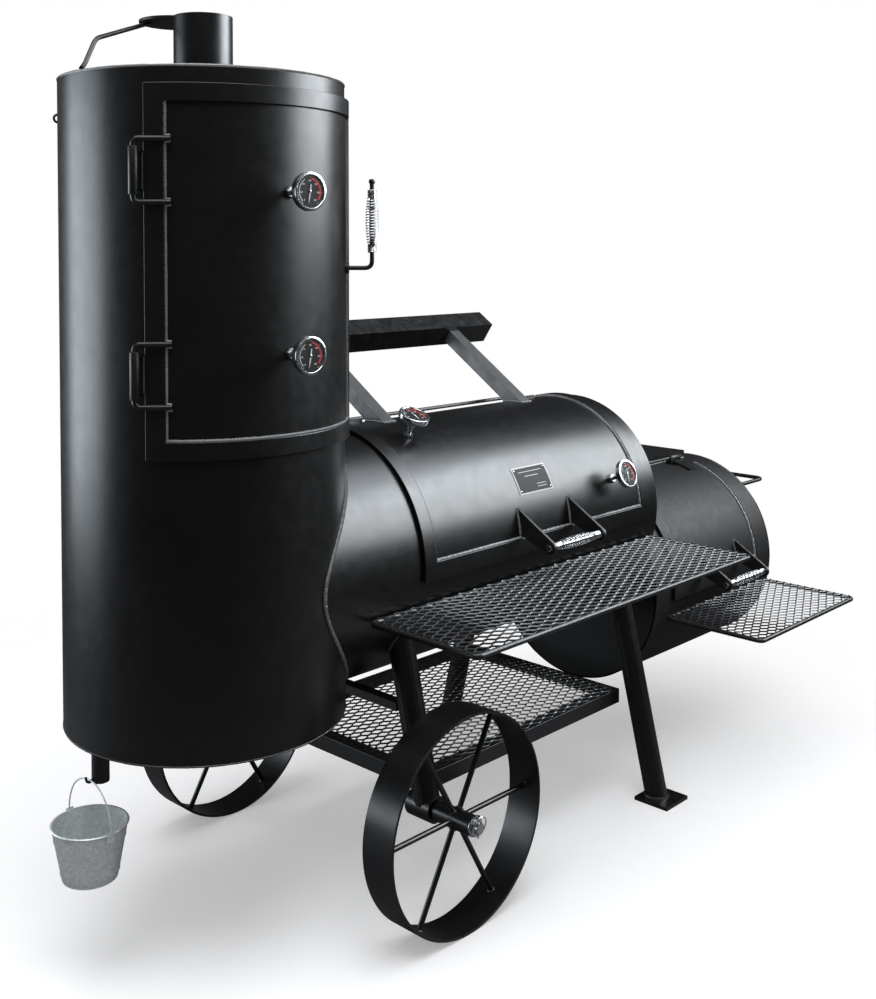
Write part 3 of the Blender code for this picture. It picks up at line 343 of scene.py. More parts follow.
class Shape:
    """Vertices and faces of one piece, gathered from several solids."""

    def __init__(self):
        self.verts = []
        self.faces = []

    def vert(self, place):
        self.verts.append(tuple(place))
        return len(self.verts) - 1

    def loft(self, rings, closed=False, caps=True):
        """Joins rings of equal length; a ring may be one repeated index for a point."""
        count = len(rings[0])
        pairs = list(zip(rings, rings[1:]))
        if closed:
            pairs.append((rings[-1], rings[0]))
        for one, two in pairs:
            for i in range(count):
                j = (i + 1) % count
                corners = []
                for v in (one[i], one[j], two[j], two[i]):
                    if v not in corners:
                        corners.append(v)
                if len(corners) > 2:
                    self.faces.append(corners)
        if caps and not closed:
            for ring in (rings[0], rings[-1]):
                if len(set(ring)) > 2:
                    self.faces.append(list(ring))

    def turned(self, profile, where, facets=48):
        """A solid of revolution from (radius, height) points; a bored one closes on itself."""
        rings = []
        for radius, height in profile:
            if radius == 0:
                rings.append([self.vert(where(0, 0, height))] * facets)
            else:
                rings.append([self.vert(where(radius, a, height)) for a in full_turn(facets)])
        self.loft(rings, closed=profile[0][0] > 0, caps=False)
        return self

    def ring(self, inner, outer, low, high, where, facets=96, round_by=0.0):
        """A ring, or a disc where inner is 0, with its corners eased by round_by."""
        profile = []
        corners = ((outer, low, -1, 1), (outer, high, -1, -1), (inner, high, 1, -1), (inner, low, 1, 1))
        for i, (radius, height, inwards, upwards) in enumerate(corners):
            if not round_by or radius == 0:
                profile.append((radius, height))
                continue
            eased = [(radius + round_by * inwards * u, height + round_by * upwards * v)
                     for u, v in ((1, 0), (0.3, 0.3), (0, 1))]
            profile += reversed(eased) if i % 2 else eased
        return self.turned(profile, where, facets)

    def disc(self, radius, low, high, where, facets=48, round_by=0.0):
        return self.ring(0, radius, low, high, where, facets, round_by)

    def tube(self, points, radius, sides=12, closed=False):
        """A round rod along the points; radius may be one number or one for each point."""
        points = [Vector(p) for p in points]
        count = len(points)
        radii = radius if isinstance(radius, list) else [radius] * count
        side = None
        rings = []
        for i, point in enumerate(points):
            if closed:
                ahead, behind = points[(i + 1) % count], points[i - 1]
            else:
                ahead, behind = points[min(i + 1, count - 1)], points[max(i - 1, 0)]
            along = (ahead - behind).normalized()
            if side is None:
                side = along.orthogonal().normalized()
            side = (side - along * side.dot(along)).normalized()
            other = along.cross(side)
            size = radii[i]
            rings.append([self.vert(point + side * (size * cos(a)) + other * (size * sin(a)))
                          for a in full_turn(sides)])
        self.loft(rings, closed)
        return self

    def shell(self, where, radii, angles, heights, keep=None, closed=False):
        """A curved plate with openings. Heights may be functions of (angle, radius)."""
        cells = len(angles) if closed else len(angles) - 1
        made = {}

        def corner(k, i, j):
            i = i % len(angles) if closed else i
            if (k, i, j) not in made:
                a = radians(angles[i])
                h = heights[j](a, radii[k]) if callable(heights[j]) else heights[j]
                made[k, i, j] = self.vert(where(radii[k], a, h))
            return made[k, i, j]

        def kept(i, j):
            if closed:
                i %= cells
            if not (0 <= i < cells and 0 <= j < len(heights) - 1):
                return False
            after = angles[(i + 1) % len(angles)]
            centre = (angles[i] + (after + 360 if after < angles[i] else after)) / 2
            return keep is None or keep(centre, j)

        for i in range(cells):
            for j in range(len(heights) - 1):
                if not kept(i, j):
                    continue
                for k in (0, 1):
                    square = ((i, j), (i + 1, j), (i + 1, j + 1), (i, j + 1))
                    self.faces.append([corner(k, *spot) for spot in square])
                for di, dj, one, two in ((-1, 0, (i, j), (i, j + 1)), (1, 0, (i + 1, j), (i + 1, j + 1)),
                                         (0, -1, (i, j), (i + 1, j)), (0, 1, (i, j + 1), (i + 1, j + 1))):
                    if not kept(i + di, j + dj):
                        ends = ((0, one), (0, two), (1, two), (1, one))
                        self.faces.append([corner(k, *spot) for k, spot in ends])
        return self

    def box(self, low, high, place=lambda x, y, z: Vector((x, y, z))):
        outline = ((low[0], low[1]), (high[0], low[1]), (high[0], high[1]), (low[0], high[1]))
        self.loft([[self.vert(place(x, y, z)) for x, y in outline] for z in (low[2], high[2])])
        return self

    def bead(self, points, radius, closed=False, pitch=0.0052, spacing=0.0014):
        """A weld bead: a tube with the ripples and small wanders of a hand-laid weld."""
        path = even(points, spacing, closed)
        radii = []
        drift = 0.0
        for i in range(len(path)):
            drift = 0.94 * drift + random.uniform(-0.035, 0.035)
            ripple = abs(sin(pi * i * spacing / pitch))
            radii.append(radius * (0.78 + 0.30 * ripple ** 0.6 + drift))
        return self.tube(path, radii, 6, closed)

    def mesh(self, name):
        """The gathered solids as a mesh, with every face turned outwards."""
        mesh = bpy.data.meshes.new(name)
        mesh.from_pydata(self.verts, [], self.faces)
        scratch = bmesh.new()
        scratch.from_mesh(mesh)
        bmesh.ops.recalc_face_normals(scratch, faces=scratch.faces)
        scratch.to_mesh(mesh)
        scratch.free()
        return mesh

    def make(self, name, material, replaces=None, body="frame", slot="black_steel", bevel=0.0, sharp=35,
             segments=2):
        """The piece itself; replaces names the CAD node it stands for, body the one it rides on."""
        mesh = self.mesh(name)
        mesh.shade_smooth()
        mesh.set_sharp_from_angle(angle=radians(sharp))
        mesh.materials.append(material)
        piece = show(name, mesh)
        if bevel:
            soften(piece, bevel, segments)
        else:
            piece.modifiers.new("flat_faces", "WEIGHTED_NORMAL").keep_sharp = True
        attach(piece, body)
        if replaces:
            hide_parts(replaces)
        return piece


def show(name, data):
    """An object at the origin of the cabinet coordinates."""
    piece = bpy.data.objects.new(name, data)
    piece.location = ORIGIN
    bpy.context.scene.collection.objects.link(piece)
    return piece


def soften(piece, width, segments=2):
    edge = piece.modifiers.new("edge", "BEVEL")
    edge.width = width
    edge.segments = segments
    edge.limit_method = "ANGLE"
    edge.angle_limit = radians(40)
    edge.harden_normals = True


def dress(node, material, bevel=0.0):
    """A CAD node keeps its shape and gets its material and rounded edges."""
    piece = frame["nodes"][node]
    if not piece.material_slots:
        piece.data.materials.append(material)
    for held in piece.material_slots:
        held.material = material
    if bevel:
        soften(piece, bevel)


# ---------------------------------------------------------------- helpers for pieces
def columns(start, end, edges=(), step=2.0):
    """Even angle steps from start to end, with a column exactly on each given edge."""
    plain = steps(start, end, round((end - start) / step))
    return sorted([a for a in plain if all(abs(a - e) > 0.4 for e in edges)] + list(edges))


def radial(angle, radius, height):
    a = radians(angle)
    return Vector((radius * cos(a), radius * sin(a), height))


def outward(angle, base):
    """Places (out, round, up) offsets from a base, at an angle round the cabinet."""
    ray = radial(angle, 1.0, 0)
    along = Vector((-ray.y, ray.x, 0))
    return lambda x, y, h: base + ray * x + along * y + Vector((0, 0, h))


def round_ray(angle, centre_z, radius, x):
    """A point round the barrel or firebox, and the direction out of it."""
    a = radians(angle)
    ray = Vector((0, -cos(a), sin(a)))
    return Vector((x, 0, centre_z)) + ray * radius, ray


def drill(piece, shape):
    """Cuts a hole for good, so that no cutter stays in the scene."""
    cutter = show("cutter", shape.mesh("cutter"))
    piece.modifiers.new("hole", "BOOLEAN").object = cutter
    bpy.context.view_layer.update()
    whole = piece.evaluated_get(bpy.context.evaluated_depsgraph_get())
    piece.data = bpy.data.meshes.new_from_object(whole)
    piece.modifiers.clear()
    bpy.data.objects.remove(cutter, do_unlink=True)


def spring_grip(node, start, direction, length, body, open_turns):
    """A wire spring wound as a barrel, with close-wound collars at both ends."""
    wire = 0.0013
    pitch = 2.1 * wire
    collar = 0.13 * length
    closed = collar / pitch
    turns = open_turns + 2 * closed
    where = about_ray(start, direction)
    path = []
    for k in range(round(turns * 22)):
        turn = k / 22
        if turn < closed:
            height = pitch * turn
        elif turn > turns - closed:
            height = length - pitch * (turns - turn)
        else:
            height = collar + (length - 2 * collar) * (turn - closed) / open_turns
        part = min(max((height - collar) / (length - 2 * collar), 0), 1)
        radius = 0.0098 + 0.0050 * sin(pi * part) ** 0.6 - wire
        path.append(where(radius, 2 * pi * turn, height))
    Shape().tube(path, wire, 8).make(node + "_spring", CHROME, node, body, slot="chrome")


def bolt_head(shape, where, low, size, high):
    """A hexagon head with a chamfered top."""
    top = low + high
    shape.turned([(0, low), (size, low), (size, low + high * 0.7), (size * 0.86, top), (0, top)], where, 6)


# ---------------------------------------------------------------- thermometers
DIAL_SWEEP = (-142, 142)         # clock angles of the first and last number


def thermometer(name, start, direction, stand_off, body):
    ray = Vector(direction).normalized()
    up = (Vector((0, 0, 1)) - ray * ray.z).normalized()
    side = up.cross(ray)                      # to the reader's right
    start = Vector(start)
    where = about_ray(start, ray)
    head = 0.0385
    face = stand_off - 0.0045

    case = ((0, 0.0105), (head - 0.0066, 0.0105), (head - 0.0060, 0.0045), (head - 0.0056, 0.0008),
            (head - 0.0048, 0), (head - 0.0020, 0), (head - 0.0005, 0.0008), (head, 0.0022), (head, 0.0110),
            (head - 0.0010, 0.0140), (head - 0.0060, 0.0165), (0.0200, 0.0200), (0.0080, 0.0210), (0, 0.0210))
    bezel = Shape().turned([(radius, stand_off - depth) for radius, depth in case], where, 72)
    bezel.make(name + "_bezel", CHROME, name, body, slot="chrome")

    stem = Shape().turned([(0, -0.058), (0.0022, -0.058), (0.003, -0.055), (0.003, 0), (0.0056, 0),
                           (0.0056, 0.020), (0.0064, 0.021), (0.0064, stand_off - 0.0205),
                           (0, stand_off - 0.0205)], where, 32)
    bolt_head(stem, where, 0.0005, 0.0125, 0.009)
    bolt_head(stem, where, stand_off - 0.034, 0.0105, 0.013)
    stem.make(name + "_stem", ZINC, body=body, slot="chrome")

    dial = Shape().disc(head - 0.0060, face - 0.0002, face + 0.0004, where, 64)
    dial.make(name + "_dial", DIAL_BLACK, body=body, slot=None)

    def on_face(radius, clock, height):
        """A point on the dial; clock is in degrees from the top, running clockwise."""
        a = radians(clock)
        return start + ray * (face + height) + side * (radius * sin(a)) + up * (radius * cos(a))

    def band(shape, radii, span):
        count = max(2, round((span[1] - span[0]) / 4))
        rings = []
        for clock in steps(span[0], span[1], count):
            rings.append([shape.vert(on_face(radii[k], clock, h))
                          for k, h in ((0, 0.0002), (1, 0.0002), (1, 0.0007), (0, 0.0007))])
        shape.loft(rings)
        return shape

    band(Shape(), (0.0240, 0.0276), (8, 128)).make(name + "_red_arc", DIAL_RED, body=body, slot=None)
    scale = band(Shape(), (0.0252, 0.0266), (-138, -28))
    for i, clock in enumerate(steps(*DIAL_SWEEP, 30)):
        inner, half = (0.0292, 0.45) if i % 5 else (0.0282, 0.9)
        band(scale, (inner, 0.0308), (clock - half, clock + half))
    scale.make(name + "_scale", DIAL_WHITE, body=body, slot=None)

    numbers = Shape()
    strokes = {"0": "abcdef", "1": "bc", "2": "abged", "3": "abgcd", "4": "fgbc", "5": "afgcd", "6": "afgedc"}
    ends = {"a": ((0, 2), (1, 2)), "b": ((1, 2), (1, 1)), "c": ((1, 1), (1, 0)), "d": ((0, 0), (1, 0)),
            "e": ((0, 1), (0, 0)), "f": ((0, 2), (0, 1)), "g": ((0, 1), (1, 1))}
    wide, tall, line = 0.0013, 0.0013, 0.00028
    for i, clock in enumerate(map(radians, steps(*DIAL_SWEEP, 6))):
        text = str(i) + "00" if i else "0"
        middle = Vector((0.0212 * sin(clock), 0.0212 * cos(clock)))
        for k, letter in enumerate(text):
            left = middle.x + (k - len(text) / 2) * wide * 1.7
            for stroke in strokes[letter]:
                (x1, y1), (x2, y2) = ends[stroke]
                low = (left + min(x1, x2) * wide - line, middle.y + (min(y1, y2) - 1) * tall - line, 0.0003)
                high = (left + max(x1, x2) * wide + line, middle.y + (max(y1, y2) - 1) * tall + line, 0.0007)
                numbers.box(low, high, lambda x, y, z: start + ray * (face + z) + side * x + up * y)
    numbers.make(name + "_numbers", DIAL_WHITE, body=body, slot=None)

    hub = Shape().turned([(0, face + 0.0004), (0.0032, face + 0.0004), (0.0030, face + 0.0024),
                          (0.0018, face + 0.0030), (0, face + 0.0031)], where, 24)
    hub.make(name + "_hub", ZINC, body=body, slot="chrome")
    lens = Shape().turned([(0, face + 0.0036), (head - 0.0058, face + 0.0036), (head - 0.0054, face + 0.0041),
                           (0.022, face + 0.0045), (0, face + 0.0048)], where, 64)
    lens.make(name + "_lens", GLASS, body=body, slot=None)
    dress(name + "_needle", DIAL_WHITE)


# ---------------------------------------------------------------- the cabinet
def build_cabinet():
    where = about_z()
    inner = CABINET_R - WALL
    window = (DOOR_ANGLES[0] - 0.3, DOOR_ANGLES[1] + 0.3)
    heights = [CABINET_Z[0], DOOR_Z[0] - 0.0015, DOOR_Z[1] + 0.0015, CABINET_Z[1]]
    shell = Shape().shell(where, (inner, CABINET_R), columns(-180, 178, window), heights,
                          lambda a, j: not (j == 1 and window[0] < a < window[1]), closed=True)
    piece = shell.make("cabinet_skin", PAINT, "cabinet_shell")
    drill(piece, Shape().disc(0.235, 0.10, 0.45, about_x(BARREL_Z), 72))
    soften(piece, 0.0012)
    bottom, top = CABINET_Z
    lid = Shape().ring(CHIMNEY_R + GAP, inner - 0.0004, top - 0.0085, top - 0.0022, where, 128, 0.0008)
    lid.make("cabinet_top", PAINT, "cabinet_top_plate")
    dress("cabinet_floor_plate", SOOT)

    sleeves = Shape()
    axis = radial(HINGE_ANGLE, HINGE_R, 0)
    for z in HINGE_Z:
        sleeves.ring(0.0067, 0.0095, z - 0.0465, z + 0.0465, about_z(axis.x, axis.y), 32, 0.0006)
        sleeves.box((CABINET_R - 0.003, -0.007, -0.038), (HINGE_R - 0.0072, 0.007, 0.038),
                    outward(HINGE_ANGLE, Vector((0, 0, z))))
    sleeves.make("cabinet_hinge_sleeves", PAINT_PARTS, bevel=0.0008)

    welds = Shape()
    welds.bead(arc(where, CABINET_R - 0.0016, (-180, 176), top - 0.0004, 180), 0.0030, closed=True)
    for z in HINGE_Z:
        beside = outward(HINGE_ANGLE, Vector((0, 0, z)))
        for side in (-0.0085, 0.0085):
            welds.bead([beside(CABINET_R + 0.001, side, end) for end in (-0.036, 0.036)], 0.0026)
    welds.make("cabinet_rim_weld", WELD_PAINTED_HIGHLIGHT)

    foot = Shape()
    foot.bead(arc(where, CABINET_R - 0.0016, (-180, 176), bottom + 0.0004, 180), 0.0026, closed=True)
    saddle = []
    for a in full_turn(180):
        y, z = (BARREL_R + 0.001) * cos(a), (BARREL_R + 0.001) * sin(a)
        saddle.append((sqrt((CABINET_R + 0.002) ** 2 - y * y), y, BARREL_Z + z))
    Shape().bead(saddle, 0.0042, closed=True).make("cabinet_barrel_weld", WELD_PAINTED_HIGHLIGHT)
    foot.make("cabinet_foot_weld", WELD_DIM_PAINTED_HIGHLIGHT)

    centre = Vector((-0.2725, 0.1345, 1.762))
    eye = Shape().tube([centre + 0.008 * Vector((-0.89 * cos(a), 0.45 * cos(a), sin(a)))
                        for a in full_turn(32)], 0.0026, 12, closed=True)
    eye.make("cabinet_side_eye", PAINT_PARTS)


def diamonds(shape, x_span, y_span, top, strand, inside=None):
    """Expanded metal: slit and stretched strands that meet at the knuckles of each diamond."""
    across, along = 0.0117, 0.0508
    length, width = x_span[1] - x_span[0], y_span[1] - y_span[0]
    rows, cells = round(width / across), round(length / along)
    pitch_x, pitch_y = length / cells, width / rows
    for row in range(rows):
        base = y_span[0] + (row + 0.5) * pitch_y
        phase = 0.5 if row % 2 else 0.0
        points = []
        for k in range(cells * 8 + 1):
            part = (k / 8 + phase) % 1.0
            rise = abs(part * 2 - 1)                       # 1 at the knuckle above, 0 at the one below
            level = min(max((rise - 0.12) / 0.76, 0), 1) - 0.5
            points.append((x_span[0] + pitch_x * k / 8, base + level * pitch_y,
                           top - strand * 1.05 + strand * 0.8 * level))
        run = []
        for point in points + [None]:
            if point and (inside is None or inside(point[0], point[1])):
                run.append(point)
                continue
            if len(run) > 2:
                shape.tube(run, strand, 4)
            run = []
    return shape


def build_racks():
    rim = 0.2885
    for side, node in (("lower", "cabinet_rack_lower"), ("upper", "cabinet_rack_upper")):
        low, high = local_box(node)
        rack = Shape()
        rack.tube(arc(about_z(), rim, (0, 355), (low.z + high.z) / 2, 71), 0.0040, 12, closed=True)
        diamonds(rack, (-rim, rim), (-rim, rim), high.z, 0.0016, lambda x, y: hypot(x, y) < rim - 0.0015)
        rack.make(f"cabinet_mesh_rack_{side}", ZINC, node)
        rests = Shape()
        for angle in (-165, -5, 60, 130):
            rests.box((-0.016, -0.012, 0), (0.0128, 0.012, 0.0060),
                      outward(angle, radial(angle, 0.285, low.z - 0.0066)))
        rests.make(f"cabinet_rack_rests_{side}", PAINT_PARTS, bevel=0.001)


def build_cabinet_door():
    where = about_z()
    plate = Shape().shell(where, (DOOR_R - WALL, DOOR_R), columns(*DOOR_ANGLES), list(DOOR_Z))
    plate.make("cabinet_door_plate", PAINT, "cabinet_door", "cabinet_door", bevel=0.0010)
    lap = degrees(LAP / CABINET_R)
    wide = degrees((FLANGE + 0.002) / CABINET_R)
    window = (DOOR_ANGLES[0] + lap, DOOR_ANGLES[1] - lap)
    outer = (DOOR_ANGLES[0] - wide, DOOR_ANGLES[1] + wide)
    radii = (DOOR_R + GAP, DOOR_R + GAP + WALL)
    heights = [DOOR_Z[0] - 0.028, DOOR_Z[0] + LAP, DOOR_Z[1] - LAP, DOOR_Z[1] + 0.028]
    rim = Shape().shell(where, radii, columns(*outer, window), heights,
                        lambda a, j: not (j == 1 and window[0] < a < window[1]))
    rim.make("cabinet_door_rim", PAINT, "cabinet_door_frame", "cabinet_door", bevel=0.0016, segments=3)

    beads = Shape()
    seam = DOOR_R + 0.0008
    for angle, size in ((window[0] + 0.2, 0.0036), (window[1] - 0.2, 0.0042)):
        beads.bead([radial(angle, seam, heights[1]), radial(angle, seam, heights[2])], size)
    beads.bead(arc(where, seam, window, heights[1] + 0.0008), 0.0044)
    beads.make("cabinet_door_weld", WELD_PAINTED_HIGHLIGHT, body="cabinet_door")

    axis = radial(HINGE_ANGLE, HINGE_R, 0)
    weld_end = radial(-137.5, 0.3165, 0)
    rods, blobs = Shape(), Shape()
    for z in HINGE_Z:
        high, low = Vector((0, 0, z + 0.061)), Vector((0, 0, z - 0.061))
        rods.tube(smooth_path([weld_end + high, axis + high, axis + low, weld_end + low], 0.012), 0.0058, 16)
        for level in (high, low):
            for way in (-1, 1):
                start = radial(-139.4, 0.3155, 0) + level + Vector((0, 0, 0.0056 * way))
                blobs.bead([start, weld_end + level + Vector((0, 0, 0.0050 * way))], 0.0034)
    rods.make("cabinet_door_hinge_rods", PAINT_PARTS, body="cabinet_door")
    blobs.make("cabinet_door_hinge_weld", WELD_PAINTED_HIGHLIGHT, body="cabinet_door")

    angle = -93.0
    for node in ("cabinet_thermometer_lower", "cabinet_thermometer_upper"):
        low, high = local_box(node)
        spot = radial(angle, DOOR_R, (low.z + high.z) / 2)
        thermometer(node, spot, radial(angle, 1.0, 0), 0.070, "cabinet_door")


def build_latch():
    angle, z = -46.0, 1.448
    knee = radial(angle, 0.365, z)
    path = smooth_path([radial(angle, 0.2855, z), knee, knee + Vector((0, 0, 0.186))], 0.016)
    rod = Shape().tube(path, 0.0049, 16)
    rod.turned([(0, 0.183), (0.0052, 0.183), (0.0070, 0.186), (0.0070, 0.190), (0.0052, 0.193), (0, 0.194)],
               about_ray(knee, (0, 0, 1)), 20)
    rod.box((0.284, -0.010, -0.012), (0.2895, 0.010, 0.051), outward(angle, Vector((0, 0, z))))
    rod.make("cabinet_latch_rod", PAINT_PARTS, "cabinet_latch_handle", "cabinet_latch")
    spring_grip("cabinet_latch_grip", knee + Vector((0, 0, 0.034)), (0, 0, 1), 0.136, "cabinet_latch", 17)
    spot = about_ray(radial(angle, DOOR_R, z), radial(angle, 1.0, 0))
    collar = Shape().ring(0.0052, 0.0125, -0.001, 0.007, spot, 32, 0.0012)
    collar.make("cabinet_latch_collar", PAINT_PARTS, body="cabinet_door")


def build_chimney():
    where = about_z()
    top = local_box("chimney")[1].z - 0.014
    pipe = Shape().ring(CHIMNEY_R - 0.0032, CHIMNEY_R, CABINET_Z[1] - 0.030, top, where, 96, 0.0008)
    pivot = radial(44.2, 0.0775, 0)
    spot = about_z(pivot.x, pivot.y)
    pipe.ring(0.0048, 0.0095, top - 0.040, top - 0.0004, spot, 28, 0.0006)
    pipe.disc(0.0045, top - 0.036, top + 0.014, spot, 24, 0.0008)
    pipe.tube([pivot * 0.81 + Vector((0, 0, top - 0.020)), pivot + Vector((0, 0, top - 0.020))], 0.006, 12)
    pipe.make("chimney_pipe", PAINT, "chimney")
    seam = arc(where, CHIMNEY_R + 0.001, (0, 356), CABINET_Z[1] - 0.0005, 90)
    weld = Shape().bead(seam, 0.0034, closed=True)
    weld.make("chimney_weld", WELD_DIM_PAINTED_HIGHLIGHT)

    turn = radians(-97.2)
    swung = Vector((pivot.x * cos(turn) - pivot.y * sin(turn),
                    pivot.x * sin(turn) + pivot.y * cos(turn), 0))
    centre = pivot - swung
    low = top + GAP
    lid = Shape().disc(0.080, low, low + 0.006, about_z(centre.x, centre.y), 96, 0.0010)
    lid.disc(0.012, low, low + 0.0062, spot, 32, 0.0010)
    path = smooth_path([(centre.x - 0.040, centre.y + 0.030, low + 0.003), (-0.243, 0.033, 1.920),
                        (-0.284, 0.010, 1.858), (-0.292, 0.004, 1.853)], 0.016)
    lid.tube(path, 0.0048, 16)
    lid.make("damper_lid", PAINT_PARTS, "damper_plate", "damper")


# ---------------------------------------------------------------- barrel, firebox and their lids
def build_tube(name, node, paint, centre_z, start, end, lid_x, lid_angles, plates):
    """A lying tube: its skin with the lid's opening, and its end plates, each with one hole."""
    where = about_x(centre_z)
    inner = BARREL_R - WALL
    window = (lid_angles[0] - 0.3, lid_angles[1] + 0.3)
    heights = [start, lid_x[0] - 0.0015, lid_x[1] + 0.0015, end]
    skin = Shape().shell(where, (inner, BARREL_R), columns(-180, 178, window), heights,
                         lambda a, j: not (j == 1 and window[0] < a < window[1]), closed=True)
    skin.make(name + "_skin", paint, node, bevel=0.0012)
    for side, span, (half, low, high) in plates:
        plate = Shape().disc(BARREL_R - 0.0006, *span, where, 160)
        piece = plate.make(f"{name}_{side}_plate", paint)
        drill(piece, Shape().box((span[0] - 0.05, -half, low), (span[1] + 0.05, half, high)))
        soften(piece, 0.0010)


def build_lid(name, paint, centre_z, x_span, angles, hinge_angle, prefix):
    """A lid, its flat-bar frame, welds and hinge straps, which all ride on the body of that name."""
    where = about_x(centre_z)
    plate = Shape().shell(where, (LID_R - WALL, LID_R), columns(*angles), list(x_span))
    plate.make(prefix + "_plate", paint, name, name, bevel=0.0010)
    lap = degrees(LAP / BARREL_R)
    wide = degrees((FLANGE + 0.004) / BARREL_R)
    top = angles[1] - 1.5
    radii = (LID_R + GAP, LID_R + GAP + WALL)
    heights = [x_span[0] - FLANGE, x_span[0] + LAP, x_span[1] - LAP, x_span[1] + FLANGE]
    low = angles[0] + lap
    rim = Shape().shell(where, radii, columns(angles[0] - wide, top, (low,)), heights,
                        lambda a, j: not (j == 1 and a > low))
    rim.make(prefix + "_rim", paint, name + "_frame", name, bevel=0.0016, segments=3)
    beads = Shape()
    seam = LID_R + 0.0008
    for x in (heights[1] + 0.0008, heights[2] - 0.0008):
        beads.bead(arc(where, seam, (low, top), x, 60), 0.0042)
    beads.bead([where(seam, radians(low + 0.2), x) for x in steps(heights[1], heights[2], 4)], 0.0044)
    beads.make(prefix + "_weld", WELD_PAINTED_HIGHLIGHT, body=name)

    y, z = hinge_spot(centre_z, hinge_angle)
    straps = Shape()
    for x in (x_span[0] + KNUCKLE_INSET, x_span[1] - KNUCKLE_INSET):
        straps.shell(where, (LID_R - 0.002, LID_R + 0.008), columns(angles[1] - 9, hinge_angle, (), 1.0),
                     [x - 0.018, x + 0.018])
        straps.ring(0.0056, 0.0085, x - 0.0185, x + 0.0185, about_x(z, y), 32, 0.0005)
    straps.make(prefix + "_straps", PAINT_PARTS, body=name, bevel=0.0008)


def hinge_spot(centre_z, angle):
    radius = BARREL_R + 0.0182
    return -radius * cos(radians(angle)), centre_z + radius * sin(radians(angle))


def build_handle(prefix, node, centre_z, middle, half, body, separate):
    """Two bracket plates, the bolt through their eyes and the spring grip between them."""
    eye = Vector((0, -0.387, centre_z + 0.009))
    foot_r = LID_R + 2 * GAP
    thick = 0.008
    spot = about_x(eye.z, eye.y)
    outline = arc(spot, 0.0165, (52, -98), 0, 20) + arc(about_x(centre_z), foot_r, (4.8, 18.0), 0, 8)
    feet = Shape()
    for side, x in (("left", middle - half), ("right", middle + half)):
        plate = Shape()
        plate.loft([[plate.vert((w, p.y, p.z)) for p in outline] for w in (x - thick / 2, x + thick / 2)])
        swapped = f"{node}_bracket_{side}"
        if not separate:                                   # one CAD node stands for both plates
            swapped = f"{node}_bracket" if side == "left" else None
        plate.make(f"{prefix}_bracket_{side}", PAINT_PARTS, swapped, body, bevel=0.0012)
        for way in (-1, 1):
            feet.bead(arc(about_x(centre_z), foot_r, (5.0, 17.6), x + way * (thick / 2 + 0.0012), 8), 0.0028)
    feet.make(prefix + "_bracket_weld", WELD_PAINTED_HIGHLIGHT, body=body)
    left, right = middle - half - thick / 2, middle + half + thick / 2
    rod = Shape().tube([(left - 0.004, *eye.yz), (right + 0.004, *eye.yz)], 0.0050, 20)
    for low, high in ((left - 0.0075, left - 0.0004), (right + 0.0004, right + 0.0075)):
        rod.turned([(0, low), (0.0078, low), (0.0088, low + 0.0010), (0.0088, high - 0.001), (0.0078, high),
                    (0, high)], spot, 6)
    rod.make(prefix + "_bolt", CHROME, f"{node}_rod" if separate else None, body, slot="chrome")
    start = (left + thick + 0.004, *eye.yz)
    spring_grip(f"{node}_grip", start, (1, 0, 0), 2 * half - thick - 0.008, body, 15)


